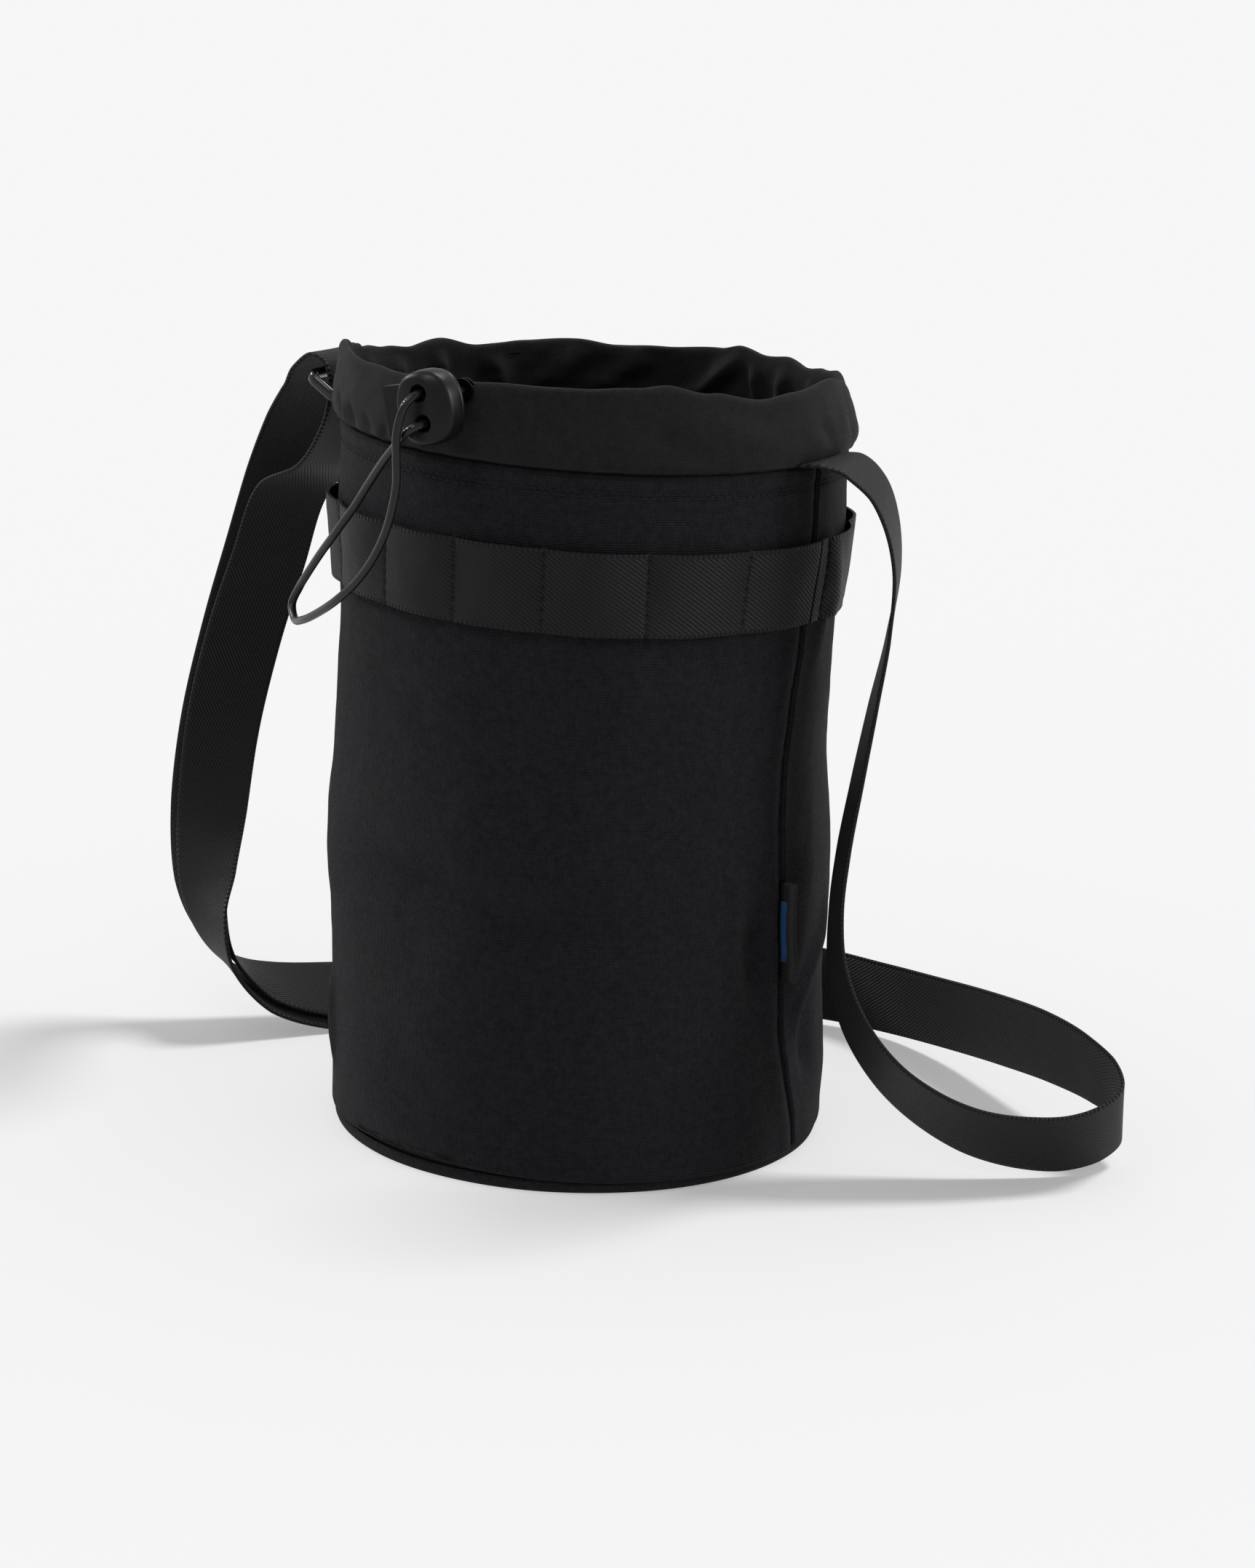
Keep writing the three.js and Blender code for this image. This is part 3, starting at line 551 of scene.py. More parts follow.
def stitches(name, runs, radius, length):
    """Sewn thread: one small capsule for each (centre, direction, outward) in millimetres."""
    sides = 6
    rings = ((-0.5, 0.25), (-0.36, 0.85), (0.0, 1.0), (0.36, 0.85), (0.5, 0.25))  # along, girth
    points, faces, uvs = [], [], []
    for centre, along, outward in runs:
        along, outward = along.normalized(), outward.normalized()
        side = along.cross(outward).normalized()
        first = len(points)
        for share, girth in rings:
            for k in range(sides):
                angle = 2 * math.pi * k / sides
                reach = side * math.cos(angle) + outward * math.sin(angle)
                points.append(centre + along * (share * length) + reach * (girth * radius))
        for j in range(len(rings) - 1):
            for k in range(sides):
                a, b = first + j * sides + k, first + j * sides + (k + 1) % sides
                faces.append((a, b, b + sides, a + sides))
                uvs.append(((0, 0), (0.001, 0), (0.001, 0.001), (0, 0.001)))
        for ring_start, flip in ((first, True), (first + (len(rings) - 1) * sides, False)):
            cap = [ring_start + k for k in range(sides)]
            faces.append(tuple(reversed(cap)) if flip else tuple(cap))
            uvs.append(tuple((0.0, 0.0) for _ in cap))
    return mesh_object(name, points, faces, uvs, thread)


# ---- materials ----
class Shader:
    """A material with a Principled shader and short calls for the nodes that drive its colour and bump."""

    def __init__(self, name, color, roughness, sheen=0.0, specular=0.5, metallic=0.0, coat=0.0):
        self.material = bpy.data.materials.new(name)
        self.material.use_nodes = True
        self.tree = self.material.node_tree
        self.surface = self.tree.nodes["Principled BSDF"]
        self.surface.inputs["Base Color"].default_value = (*color, 1.0)
        self.surface.inputs["Roughness"].default_value = roughness
        self.surface.inputs["Specular IOR Level"].default_value = specular
        self.surface.inputs["Metallic"].default_value = metallic
        self.surface.inputs["Coat Weight"].default_value = coat
        self.surface.inputs["Sheen Weight"].default_value = sheen
        self.surface.inputs["Sheen Roughness"].default_value = 0.45
        self.color = color

    def node(self, kind, **settings):
        made = self.tree.nodes.new(kind)
        for key, value in settings.items():
            setattr(made, key, value)
        return made

    def link(self, value, socket):
        if isinstance(value, (int, float)):
            socket.default_value = value
        else:
            self.tree.links.new(value, socket)

    def math(self, operation, *values):
        made = self.node("ShaderNodeMath", operation=operation)
        for value, socket in zip(values, made.inputs):
            self.link(value, socket)
        return made.outputs[0]

    def cloth(self):
        """The two coordinates of the flat cloth, in metres."""
        where = self.node("ShaderNodeUVMap", uv_map="cloth")
        parts = self.node("ShaderNodeSeparateXYZ")
        self.tree.links.new(where.outputs["UV"], parts.inputs[0])
        return parts.outputs["X"], parts.outputs["Y"]

    def noise(self, size, detail=2.0):
        """Even noise with bumps about size metres across, fixed to the object."""
        where = self.node("ShaderNodeTexCoord")
        made = self.node("ShaderNodeTexNoise")
        made.inputs["Scale"].default_value = 1.0 / size
        made.inputs["Detail"].default_value = detail
        self.tree.links.new(where.outputs["Object"], made.inputs["Vector"])
        return made.outputs["Fac"]

    def wave(self, value, pitch):
        """The size of a sine along value, from 0 between threads to 1 on their crowns."""
        turned = self.math("MULTIPLY", value, math.pi / pitch)
        return self.math("ABSOLUTE", self.math("SINE", turned))

    def ramp(self, value, dark, light):
        """Colour from dark to light times the base colour as value goes from 0 to 1."""
        made = self.node("ShaderNodeMix", data_type="RGBA")
        self.link(value, made.inputs["Factor"])
        made.inputs[6].default_value = (*[c * dark for c in self.color], 1.0)
        made.inputs[7].default_value = (*[c * light for c in self.color], 1.0)
        self.tree.links.new(made.outputs[2], self.surface.inputs["Base Color"])

    def bump(self, height, depth, strength=1.0):
        """Raises the surface by height times depth, in metres."""
        made = self.node("ShaderNodeBump")
        made.inputs["Strength"].default_value = strength
        made.inputs["Distance"].default_value = depth
        self.link(height, made.inputs["Height"])
        self.tree.links.new(made.outputs["Normal"], self.surface.inputs["Normal"])


def plain_weave(name, color, pitch, depth, roughness=0.8, sheen=0.02, contrast=0.75):
    """Cloth of crossing threads, each a small bump, with uneven yarn.

    Its colour also follows the bumps, with painted light on the thread crowns and painted shade between the
    threads.
    """
    shader = Shader(name, color, roughness, sheen=sheen, specular=0.08)
    u, v = shader.cloth()
    wander = shader.math("MULTIPLY", shader.noise(pitch * 6, 1.0), pitch * 0.9)
    bumps = shader.math(
        "MULTIPLY",
        shader.wave(shader.math("ADD", u, wander), pitch),
        shader.wave(shader.math("ADD", v, wander), pitch),
    )
    crowns = shader.math("POWER", bumps, 0.7)
    yarn = shader.noise(pitch * 1.9, 2.0)
    height = shader.math("MULTIPLY_ADD", yarn, 1.0, crowns)
    patches = shader.noise(0.0035, 3.0)
    blotches = shader.math("MULTIPLY_ADD", patches, 0.7, -0.62)
    # painted light and shade: the thread crowns come out lighter and the gaps darker; the yarn noise and
    # blotches are random tone
    painted_shade_and_tone = shader.math("ADD", shader.math("MULTIPLY", height, 0.75), blotches)
    shader.ramp(painted_shade_and_tone, 1.0 - contrast, 1.0 + contrast)
    shader.bump(height, depth, 0.8)
    return shader.material


def twill(name, color, pitch, depth, lay=1.0, roughness=0.55, edge=True):
    """Webbing with slanting ribs and, along both edges, a beaded selvedge.

    Its colour also follows the ribs and beads, with painted light on their crowns and painted shade, down to
    black, in the grooves.
    """
    shader = Shader(name, color, roughness, sheen=0.01, specular=0.14)
    u, v = shader.cloth()
    slant = shader.math("MULTIPLY_ADD", u, 0.82, shader.math("MULTIPLY", v, 0.57 * lay))
    ribs = shader.wave(slant, pitch)
    warp = shader.math("MULTIPLY_ADD", u, 1.0, shader.math("MULTIPLY", v, -0.15))
    fine = shader.wave(warp, pitch * 0.45)
    height = shader.math("MULTIPLY_ADD", fine, 0.25, ribs)
    if edge:
        from_edge = shader.math("ABSOLUTE", shader.math("SUBTRACT", u, 0.5 * WEBBING_WIDTH * MM))
        at_edge = shader.math("GREATER_THAN", from_edge, (0.5 * WEBBING_WIDTH - 1.3) * MM)
        beads = shader.wave(v, 0.0019)
        height = shader.math(
            "ADD",
            shader.math("MULTIPLY", height, shader.math("SUBTRACT", 1.0, at_edge)),
            shader.math("MULTIPLY", beads, at_edge),
        )
    yarn = shader.noise(0.0011, 2.0)
    patches = shader.noise(0.02, 2.0)
    flecks = shader.math("MULTIPLY_ADD", yarn, 0.3, -0.05)
    # painted light and shade: rib and bead crowns come out lighter and the grooves darker, down to black;
    # flecks and patches are random tone
    painted_shade_and_tone = shader.math("ADD", shader.math("MULTIPLY", height, 0.55), flecks)
    painted_shade_and_tone = shader.math("MULTIPLY_ADD", patches, 0.2, painted_shade_and_tone)
    shader.ramp(painted_shade_and_tone, 0.0, 1.7)
    shader.bump(shader.math("MULTIPLY_ADD", yarn, 0.2, height), depth, 1.0)
    return shader.material


def braid(name, color, roughness, specular):
    """A cord's braided cover: fine strands that cross on a slant.

    Its colour also follows the strands, with painted light on their crowns and painted shade in the gaps
    between them.
    """
    shader = Shader(name, color, roughness, specular=specular)
    u, v = shader.cloth()
    one_way = shader.wave(shader.math("ADD", v, shader.math("MULTIPLY", u, 0.9)), 0.0011)
    other_way = shader.wave(shader.math("SUBTRACT", v, shader.math("MULTIPLY", u, 0.9)), 0.0011)
    height = shader.math("MULTIPLY", one_way, other_way)
    # painted light and shade: strand crowns come out lighter and the gaps darker, on top of random noise in
    # tone
    painted_shade_and_tone = shader.math("MULTIPLY_ADD", shader.noise(0.0008, 2.0), 0.4, height)
    shader.ramp(painted_shade_and_tone, 0.3, 1.6)
    shader.bump(height, 0.00006, 0.7)
    return shader.material


def moulded(name, color, roughness, grain=0.00003, coat=0.0):
    """Moulded plastic with a fine grain and faint handling marks."""
    shader = Shader(name, color, roughness, specular=0.16, coat=coat)
    fine = shader.noise(0.0004, 3.0)
    marks = shader.noise(0.006, 4.0)
    shader.ramp(shader.math("MULTIPLY_ADD", fine, 0.3, shader.math("MULTIPLY", marks, 0.7)), 0.8, 1.25)
    rough = shader.math("MULTIPLY_ADD", marks, 0.16, roughness - 0.08)
    shader.tree.links.new(rough, shader.surface.inputs["Roughness"])
    shader.bump(fine, grain, 0.5)
    return shader.material


def metal(name, color, roughness):
    shader = Shader(name, color, roughness, metallic=1.0)
    marks = shader.noise(0.002, 3.0)
    shader.ramp(marks, 0.85, 1.1)
    shader.bump(marks, 0.00001, 0.4)
    return shader.material


pack_cloth = plain_weave("pack_cloth", PACK_CLOTH, 0.00086, 0.0004)
collar_cloth = plain_weave(
    "collar_cloth", COLLAR_CLOTH, 0.0005, 0.0002, roughness=0.7, sheen=0.03, contrast=0.6
)
lining_cloth = plain_weave("lining_cloth", LINING_CLOTH, 0.00048, 0.0001, roughness=0.8, contrast=0.25)
binding_tape = plain_weave("binding_tape", PACK_CLOTH, 0.0006, 0.0002)
webbing = twill("webbing", WEBBING_CLOTH, 0.00132, 0.00035, lay=-1.0)
strap_webbing = twill("strap_webbing", WEBBING_CLOTH, 0.0012, 0.0003, roughness=0.5)
label_tape = twill("label_tape", LABEL_TAPE, 0.0009, 0.00015, edge=False)
label_print = plain_weave("label_print", LABEL_BLUE, 0.0003, 0.00004, contrast=0.2)
thread = braid("thread", THREAD, 0.7, 0.1)
cord_cover = braid("cord_cover", CORD_CLOTH, 0.2, 0.28)
satin_plastic = moulded("satin_plastic", BLACK_PLASTIC, 0.36)
gloss_plastic = moulded("gloss_plastic", BLACK_PLASTIC, 0.2, grain=0.00001, coat=0.4)
board_plastic = moulded("board_plastic", BOARD, 0.6)
spring_steel = metal("spring_steel", STEEL, 0.3)
black_brass = metal("black_brass", (0.02, 0.02, 0.02), 0.35)


# ---- stage: camera, floor and light ----
def add_camera():
    data = bpy.data.cameras.new("camera")
    data.lens = CAMERA_LENS
    data.sensor_width = 36.0
    data.clip_start = 0.05
    data.clip_end = 100.0
    camera = bpy.data.objects.new("camera", data)
    right = Vector(CAMERA_RIGHT).normalized()
    up = Vector(CAMERA_UP).normalized()
    back = right.cross(up).normalized()
    turned = Matrix((right, up, back)).transposed().to_4x4()
    camera.matrix_world = Matrix.Translation(CAMERA_PLACE) @ turned
    bpy.context.scene.collection.objects.link(camera)
    bpy.context.scene.camera = camera


def add_floor():
    mesh = bpy.data.meshes.new("floor")
    reach = 30.0
    height = -0.0003
    corners = [(x * reach, y * reach, height) for x, y in ((-1, -1), (1, -1), (1, 1), (-1, 1))]
    mesh.from_pydata(corners, [], [(0, 1, 2, 3)])
    shader = Shader("floor_paint", (FLOOR, FLOOR, FLOOR), 0.9, specular=0.0)
    shader.surface.inputs["Emission Color"].default_value = (1.0, 1.0, 1.0, 1.0)
    shader.surface.inputs["Emission Strength"].default_value = FLOOR_GLOW
    mesh.materials.append(shader.material)
    floor = bpy.data.objects.new("floor", mesh)
    bpy.context.scene.collection.objects.link(floor)
    return floor


def light_group(name, objects, state="INCLUDE"):
    """Objects that a light is kept to, or is kept off."""
    group = bpy.data.collections.new(name)
    for obj in objects:
        group.objects.link(obj)
    for member in group.collection_objects:
        member.light_linking.link_state = state
    return group


def add_sun(name, direction, energy, spread, receivers):
    """A soft light from far away. direction points from the bag towards the light."""
    data = bpy.data.lights.new(name, "SUN")
    data.energy = energy
    data.angle = math.radians(spread)
    light = bpy.data.objects.new(name, data)
    light.rotation_mode = "QUATERNION"
    light.rotation_quaternion = Vector(direction).to_track_quat("Z", "Y")
    light.light_linking.receiver_collection = receivers
    bpy.context.scene.collection.objects.link(light)
    return light


def add_light(floor, straps):
    """A pale sky, four suns for the bag, and one for the floor in which only the straps cast a shadow."""
    world = bpy.data.worlds.new("studio")
    world.use_nodes = True
    background = world.node_tree.nodes["Background"]
    background.inputs["Color"].default_value = (1.0, 1.0, 1.0, 1.0)
    background.inputs["Strength"].default_value = SKY
    bpy.context.scene.world = world
    off_floor = light_group("off_floor", [floor], "EXCLUDE")
    add_sun("overhead_rear", (0.1, 0.8, 1.2), 1.4, 25, off_floor)
    add_sun("left", (-1.0, -0.05, 0.6), 1.6, 14, off_floor)
    add_sun("right_rear", (0.95, 0.6, 0.4), 1.5, 20, off_floor)
    add_sun("front_fill", (-0.1, -0.8, 1.1), 1.0, 20, off_floor)
    on_floor = add_sun("on_floor", (0.3, 0.5, 1.0), 2.6, 16, light_group("floor_only", [floor]))
    on_floor.light_linking.blocker_collection = light_group("strap_shadows", straps)
    bpy.context.scene.view_settings.view_transform = "Standard"


# ---- cord ----
def add_cords():
    loop_path = even_path(smooth_path(LOOP_ROUTE, 12), 0.8)
    loop = tube("drawcord_loop_cover", loop_path, CORD_RADIUS, 16, cord_cover)
    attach(loop, "cord_lock")
    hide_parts("drawcord_loop")
    for name, node, route in (
        ("exit_strand_upper_cover", "exit_strand_upper", EXIT_UPPER),
        ("exit_strand_lower_cover", "exit_strand_lower", EXIT_LOWER),
    ):
        strand = tube(name, even_path(smooth_path(route, 12), 0.6), CORD_RADIUS, 16, cord_cover)
        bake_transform(strand)
        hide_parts(node)


# ---- body ----
def seam_bow(angle, z):
    """How far the right seam bends towards the front half way up, in degrees."""
    for (z0, bow0), (z1, bow1) in zip(SEAM_BOW, SEAM_BOW[1:]):
        if z <= z1:
            return (bow0 + (bow1 - bow0) * smooth(z, z0, z1)) * bell(turn(angle - 90), 42)
    return SEAM_BOW[-1][1] * bell(turn(angle - 90), 42)


def wall_radius(angle, z):
    """Radius of the body's outer face, with its bulges, folds and pressed-in stitching."""
    x = BODY_RADIUS * math.sin(math.radians(angle))
    y = -BODY_RADIUS * math.cos(math.radians(angle))
    middle = smooth(z, 2, 26) * (1 - smooth(z, 236, 264))
    radius = BODY_RADIUS
    for at, height, wide, tall, bulge in BODY_BULGES:
        radius += bulge * bell(turn(angle - at), wide) * bell(z - height, tall)
    radius += middle * FOLD_STRENGTH * fold_height(BODY_FOLDS, angle, z)
    radius += middle * (1.5 * roughness_of(x, y, z, 46) + 0.6 * roughness_of(x, y, z + 400, 19))
    radius += 0.16 * roughness_of(x, y, z + 900, 7)
    for height in HEM_STITCH_HEIGHTS:
        radius -= 0.3 * bell(z - height, 0.8)
    radius += 0.35 * bell(z - 263.4, 2.6)
    return radius


def wall(angle, z, lift=0.0):
    return round_the_bag(angle + seam_bow(angle, z), wall_radius(angle, z) + lift, z)


def foot_height(angle):
    """Where the wall turns under: it rides up a little at the front left."""
    return 4.6 + 2.4 * bell(turn(angle + 12), 30) - 1.2 * bell(turn(angle - 75), 30)


TOP_TURN = [  # height, and how far inside the wall's face
    (250.0, -2.1), (258.0, -2.1), (265.2, -2.0), (266.2, -1.5), (266.5, -0.9), (266.1, -0.3), (265.4, 0.0),
]
FOOT_TURN = [  # height over the foot, and how far inside the wall's face
    (1.6, 0.0), (0.7, -0.25), (0.1, -0.8), (0.0, -1.5), (0.3, -2.6),
]


def add_panel(name, node, start, end, edge_lift):
    """One half of the wall: over the hem, down the outside and under at the foot."""
    edge = [0.0, 0.25, 0.5, 0.8, 1.1, 1.5, 2.0]
    inner = spans(start + 2.9, end - 2.9, 0.9)
    columns = [start + e for e in edge] + inner + [end - e for e in reversed(edge)]
    heights = spans(264.6, 8.0, 2.1)
    rows = list(range(len(TOP_TURN) + len(heights) + len(FOOT_TURN)))

    def place(angle, row):
        from_edge = min(angle - start, end - angle)
        lift = edge_lift * bell(from_edge - 3.4, 2.2) - 2.6 * (1 - smooth(from_edge, 0.0, 1.5))
        if row < len(TOP_TURN):
            z, drop = TOP_TURN[row]
            return wall(angle, z, lift + drop)
        if row < len(TOP_TURN) + len(heights):
            return wall(angle, heights[row - len(TOP_TURN)], lift)
        rise, drop = FOOT_TURN[row - len(TOP_TURN) - len(heights)]
        return wall(angle, foot_height(angle) + rise, lift + drop)

    def cloth(angle, row):
        down = [270.0 + (len(TOP_TURN) - i) * 1.5 for i in range(len(TOP_TURN))] + heights
        down += [6.0 - i for i in range(len(FOOT_TURN))]
        return math.radians(angle) * BODY_RADIUS * MM, down[row] * MM

    panel = grid(name, columns, rows[::-1], place, pack_cloth, cloth=cloth)
    thicken(panel, 0.9)
    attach(panel, "bag")
    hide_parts(node)


def add_hem():
    """The turned-in layer behind the top edge, and the two rows of thread that hold it."""
    rows = [(244.0, -3.2), (250.0, -3.2), (258.0, -3.0), (264.0, -2.7), (265.0, -2.6)]
    columns = spans(-180, 180, 1.5)[:-1]
    band = grid(
        "hem_turning",
        columns,
        list(range(len(rows))),
        lambda angle, row: wall(angle, *rows[row]),
        pack_cloth,
        closed=True,
        cloth=lambda angle, row: (math.radians(angle) * BODY_RADIUS * MM, rows[row][0] * MM),
    )
    thicken(band, 0.7)
    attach(band, "bag")
    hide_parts("top_hem")
    runs = []
    count = round(2 * math.pi * BODY_RADIUS / HEM_STITCH_PITCH)
    for row, height in enumerate(HEM_STITCH_HEIGHTS):
        for i in range(count):
            angle = -180 + 360 * (i + 0.5 * row) / count
            if abs(abs(turn(angle)) - 90) < 1.6:
                continue
            here = Vector(wall(angle, height, 0.12))
            there = Vector(wall(angle + 1, height, 0.12))
            outward = Vector((here.x, here.y, 0))
            tilt = Vector((0, 0, 0.35 * (1 if row else -1)))
            runs.append((here, (there - here).normalized() + 0.25 * tilt, outward))
    sewn = stitches("hem_stitches", runs, radius=0.3, length=2.4)
    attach(sewn, "bag")


def add_base():
    """The base: a disc with a rounded edge and a turned-up rim behind the wall's foot."""
    profile = [
        (0.0, 0.3), (40.0, 0.25), (70.0, 0.1), (84.0, 0.0), (89.6, 0.0),
        (91.0, 0.25), (91.9, 0.9), (92.3, 1.9), (92.3, 3.4), (91.9, 5.0),
    ]
    columns = spans(-180, 180, 2.0)[:-1]

    def place(angle, row):
        radius, z = profile[row]
        way = math.radians(angle)
        wobble = 0.25 * roughness_of(math.cos(way) * 60, math.sin(way) * 60, z, 22)
        return round_the_bag(angle, radius + wobble * smooth(radius, 60, 92), z)

    def cloth(angle, row):
        radius, z = profile[row]
        way = math.radians(angle)
        return (radius + z) * math.sin(way) * MM, -(radius + z) * math.cos(way) * MM

    rows = list(range(len(profile)))
    base = grid("base_cloth", columns, rows, place, pack_cloth, closed=True, cloth=cloth)
    face_outwards(base, join=0.01)
    thicken(base, 1.0)
    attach(base, "bag")
    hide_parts("base_panel")


def add_lining():
    """The nylon lining of the wall and the base."""
    def wall_place(angle, z):
        x = 90 * math.sin(math.radians(angle))
        y = -90 * math.cos(math.radians(angle))
        slack = 0.7 * roughness_of(x, y, z, 24) + 0.5 * roughness_of(x, y, z * 0.4, 9)
        behind_wall = wall_radius(angle - seam_bow(angle, z), z) - LINING_DEPTH
        return round_the_bag(angle, min(LINING_RADIUS + slack * smooth(z, 10, 40), behind_wall), z)

    wall_lining = grid(
        "lining_skin",
        spans(-180, 180, 1.5)[:-1],
        spans(4.8, 256, 3.2),
        wall_place,
        lining_cloth,
        closed=True,
        cloth=lambda angle, z: (math.radians(angle) * 90 * MM, z * MM),
    )
    thicken(wall_lining, 0.4, offset=0.0)
    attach(wall_lining, "bag")
    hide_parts("lining_wall")

    def floor_place(angle, radius):
        way = math.radians(angle)
        bump = roughness_of(radius * math.cos(way), radius * math.sin(way), 0, 20)
        return round_the_bag(angle, radius, 4.2 + 0.4 * bump)

    def floor_cloth(angle, radius):
        way = math.radians(angle)
        return radius * math.sin(way) * MM, radius * math.cos(way) * MM

    floor = grid(
        "lining_floor",
        spans(-180, 180, 3.0)[:-1],
        [0.0, 15.0, 30.0, 45.0, 60.0, 75.0, 86.0, 89.0],
        floor_place,
        lining_cloth,
        closed=True,
        cloth=floor_cloth,
    )
    face_outwards(floor, join=0.01)
    thicken(floor, 0.4, offset=0.0)
    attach(floor, "bag")
    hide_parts("lining_base")


def add_bindings():
    """The tapes that bind the side seams and the base seam inside."""
    seam_heights = spans(14, 250, 3.0)
    tapes = (  # name, node, angles, heights, closed, waviness, stretch of the waves
        ("seam_tape_right", "seam_binding_right", spans(86, 94, 0.5), seam_heights, False, 0.4, 3),
        ("seam_tape_left", "seam_binding_left", spans(-94, -86, 0.5), seam_heights, False, 0.4, 3),
        ("base_tape", "base_binding", spans(-180, 180, 2.0)[:-1], spans(5.2, 14, 1.5), True, 0.3, 1.5),
    )
    for name, node, angles, heights, closed, wave, stretch in tapes:
        def place(angle, z):
            radius = TAPE_RADIUS + wave * roughness_of(angle * stretch, 0, z, 12)
            return round_the_bag(angle, radius, z)

        def cloth(angle, z):
            return math.radians(angle) * 89 * MM, z * MM

        tape = grid(name, angles, heights, place, binding_tape, closed=closed, cloth=cloth)
        thicken(tape, 0.8, offset=0.0)
        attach(tape, "bag")
        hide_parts(node)


# ---- ladder webbing ----
def between_stitches(angle):
    """The slack, 0 on a stitch line and 1 half way between two, and the angle to the nearest line."""
    marks = sorted(turn(a) for a in LADDER_STITCHES)
    marks = [marks[-1] - 360, *marks, marks[0] + 360]
    angle = turn(angle)
    for a, b in zip(marks, marks[1:]):
        if a <= angle <= b:
            return math.sin(math.pi * (angle - a) / (b - a)), min(angle - a, b - angle)
    return 0.0, 0.0


def ladder_lift(angle, up):
    """How far the webbing stands off the wall: little at the stitches, more between, and most at the top."""
    slack, away = between_stitches(angle)
    groove = math.radians(away) * LADDER_RADIUS
    lift = 0.7 + (1.3 + 1.4 * up) * max(slack, 0.0) ** 0.7
    pits = 0.55 + 0.45 * math.cos(2 * math.pi * up * WEBBING_WIDTH / LADDER_STITCH_PITCH)
    return lift - 1.1 * bell(groove, 0.8) * pits


def add_ladder(name, node, start, end):
    columns = spans(start, end, 0.9)
    for mark in [turn(angle) + lap for angle in LADDER_STITCHES for lap in (0, 360)]:
        if start < mark < end:
            columns += [mark + offset for offset in (-1.0, -0.6, -0.4, -0.2, 0, 0.2, 0.4, 0.6, 1.0)]
    columns = sorted(set(round(c, 3) for c in columns if start <= c <= end))
    rows = spans(0, 1, 1 / 46)
    band = grid(
        name,
        columns,
        rows,
        lambda angle, up: wall(angle, LADDER_BOTTOM + up * WEBBING_WIDTH, ladder_lift(angle, up)),
        webbing,
        cloth=lambda angle, up: (up * WEBBING_WIDTH * MM, -math.radians(angle) * LADDER_RADIUS * MM),
    )
    thicken(band, 1.1, offset=1.0)
    soften(band, 0.3)
    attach(band, "bag")
    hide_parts(node)


def add_ladder_stitches():
    runs = []
    for angle in LADDER_STITCHES:
        for i in range(LADDER_STITCH_COUNT):
            up = (LADDER_STITCH_START + LADDER_STITCH_PITCH * i) / WEBBING_WIDTH
            z = LADDER_BOTTOM + up * WEBBING_WIDTH
            centre = Vector(wall(angle, z, ladder_lift(angle, up) + 1.3))
            runs.append((centre, Vector((0, 0, 1)), Vector((centre.x, centre.y, 0))))
    sewn = stitches("ladder_stitches", runs, radius=0.45, length=2.5)
    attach(sewn, "bag")


# ---- label ----
def add_label():
    """A folded tape in the right seam: a small open tube at the fold, its two legs going into the seam."""
    outline = [(-1.2, -0.55), (1.2, -0.6)]
    for i in range(13):
        angle = math.radians(-150 + 300 * i / 12)
        outline.append((3.9 + 1.75 * math.cos(angle), 1.55 * math.sin(angle)))
    outline += [(1.2, 0.6), (-1.2, 0.55)]

    def frame_at(z):
        origin = Vector(wall(LABEL_ANGLE, z, 0.0))
        outward = Vector((origin.x, origin.y, 0)).normalized()
        return origin, outward, Vector((outward.y, -outward.x, 0))

    def place(i, z):
        out, side = outline[i]
        sway = 0.5 * math.sin((z - LABEL_BOTTOM) / LABEL_HEIGHT * math.pi)
        origin, outward, across = frame_at(z)
        return origin + outward * out + across * (side + sway)

    label = grid(
        "woven_label_tape",
        list(range(len(outline))),
        spans(LABEL_BOTTOM, LABEL_BOTTOM + LABEL_HEIGHT, 1.5),
        place,
        label_tape,
        cloth=lambda i, z: (i * 0.0008, z * MM),
    )
    thicken(label, 0.35, offset=0.0)
    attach(label, "bag")
    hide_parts("woven_label")

    def patch_place(out, z):
        origin, outward, across = frame_at(z)
        return origin + outward * out + across * 1.25

    patch = grid(
        "label_patch",
        spans(-0.4, 2.9, 0.7),
        spans(LABEL_BOTTOM + 8, LABEL_BOTTOM + 32, 3),
        patch_place,
        label_print,
    )
    thicken(patch, 0.25, offset=1.0)
    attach(patch, "bag")


# ---- collar ----
COLLAR_PROFILE = [  # radius, and height before the rim's own height is worked in
    (91.4, 256.0), (91.5, 260.0), (91.6, 264.0), (92.0, 266.0), (93.2, 267.3), (94.8, 267.9),
    (95.9, 269.0), (96.5, 271.0), (96.8, 274.0), (96.7, 278.0), (96.3, 282.0), (95.8, 286.0),
    (95.3, 290.0), (94.9, 293.0), (94.5, 295.2), (93.9, 296.5), (93.1, 297.2), (92.2, 297.2),
    (91.4, 296.6), (90.9, 295.2), (90.5, 292.5), (90.2, 289.0), (90.0, 285.0), (89.9, 281.0),
    (89.9, 277.0), (89.9, 273.0), (90.0, 269.0), (90.1, 264.0),
    (90.2, 258.0),
]


def refined(profile, parts=3):
    """The profile with extra points between the given ones."""
    fine = smooth_path([(r, z, 0.0) for r, z in profile], parts)
    return [(p.x, p.y) for p in fine]


def collar_sway(x, y, z):
    """Soft waves of the collar's cloth."""
    return 0.7 * roughness_of(x, y, z, 19) + 0.35 * roughness_of(x, y, z + 300, 8)


def drawn_in(angle):
    """How far the collar's rim leans in, which it does towards the back."""
    return 3.0 * smooth(-math.cos(math.radians(angle)), -0.15, 0.55)


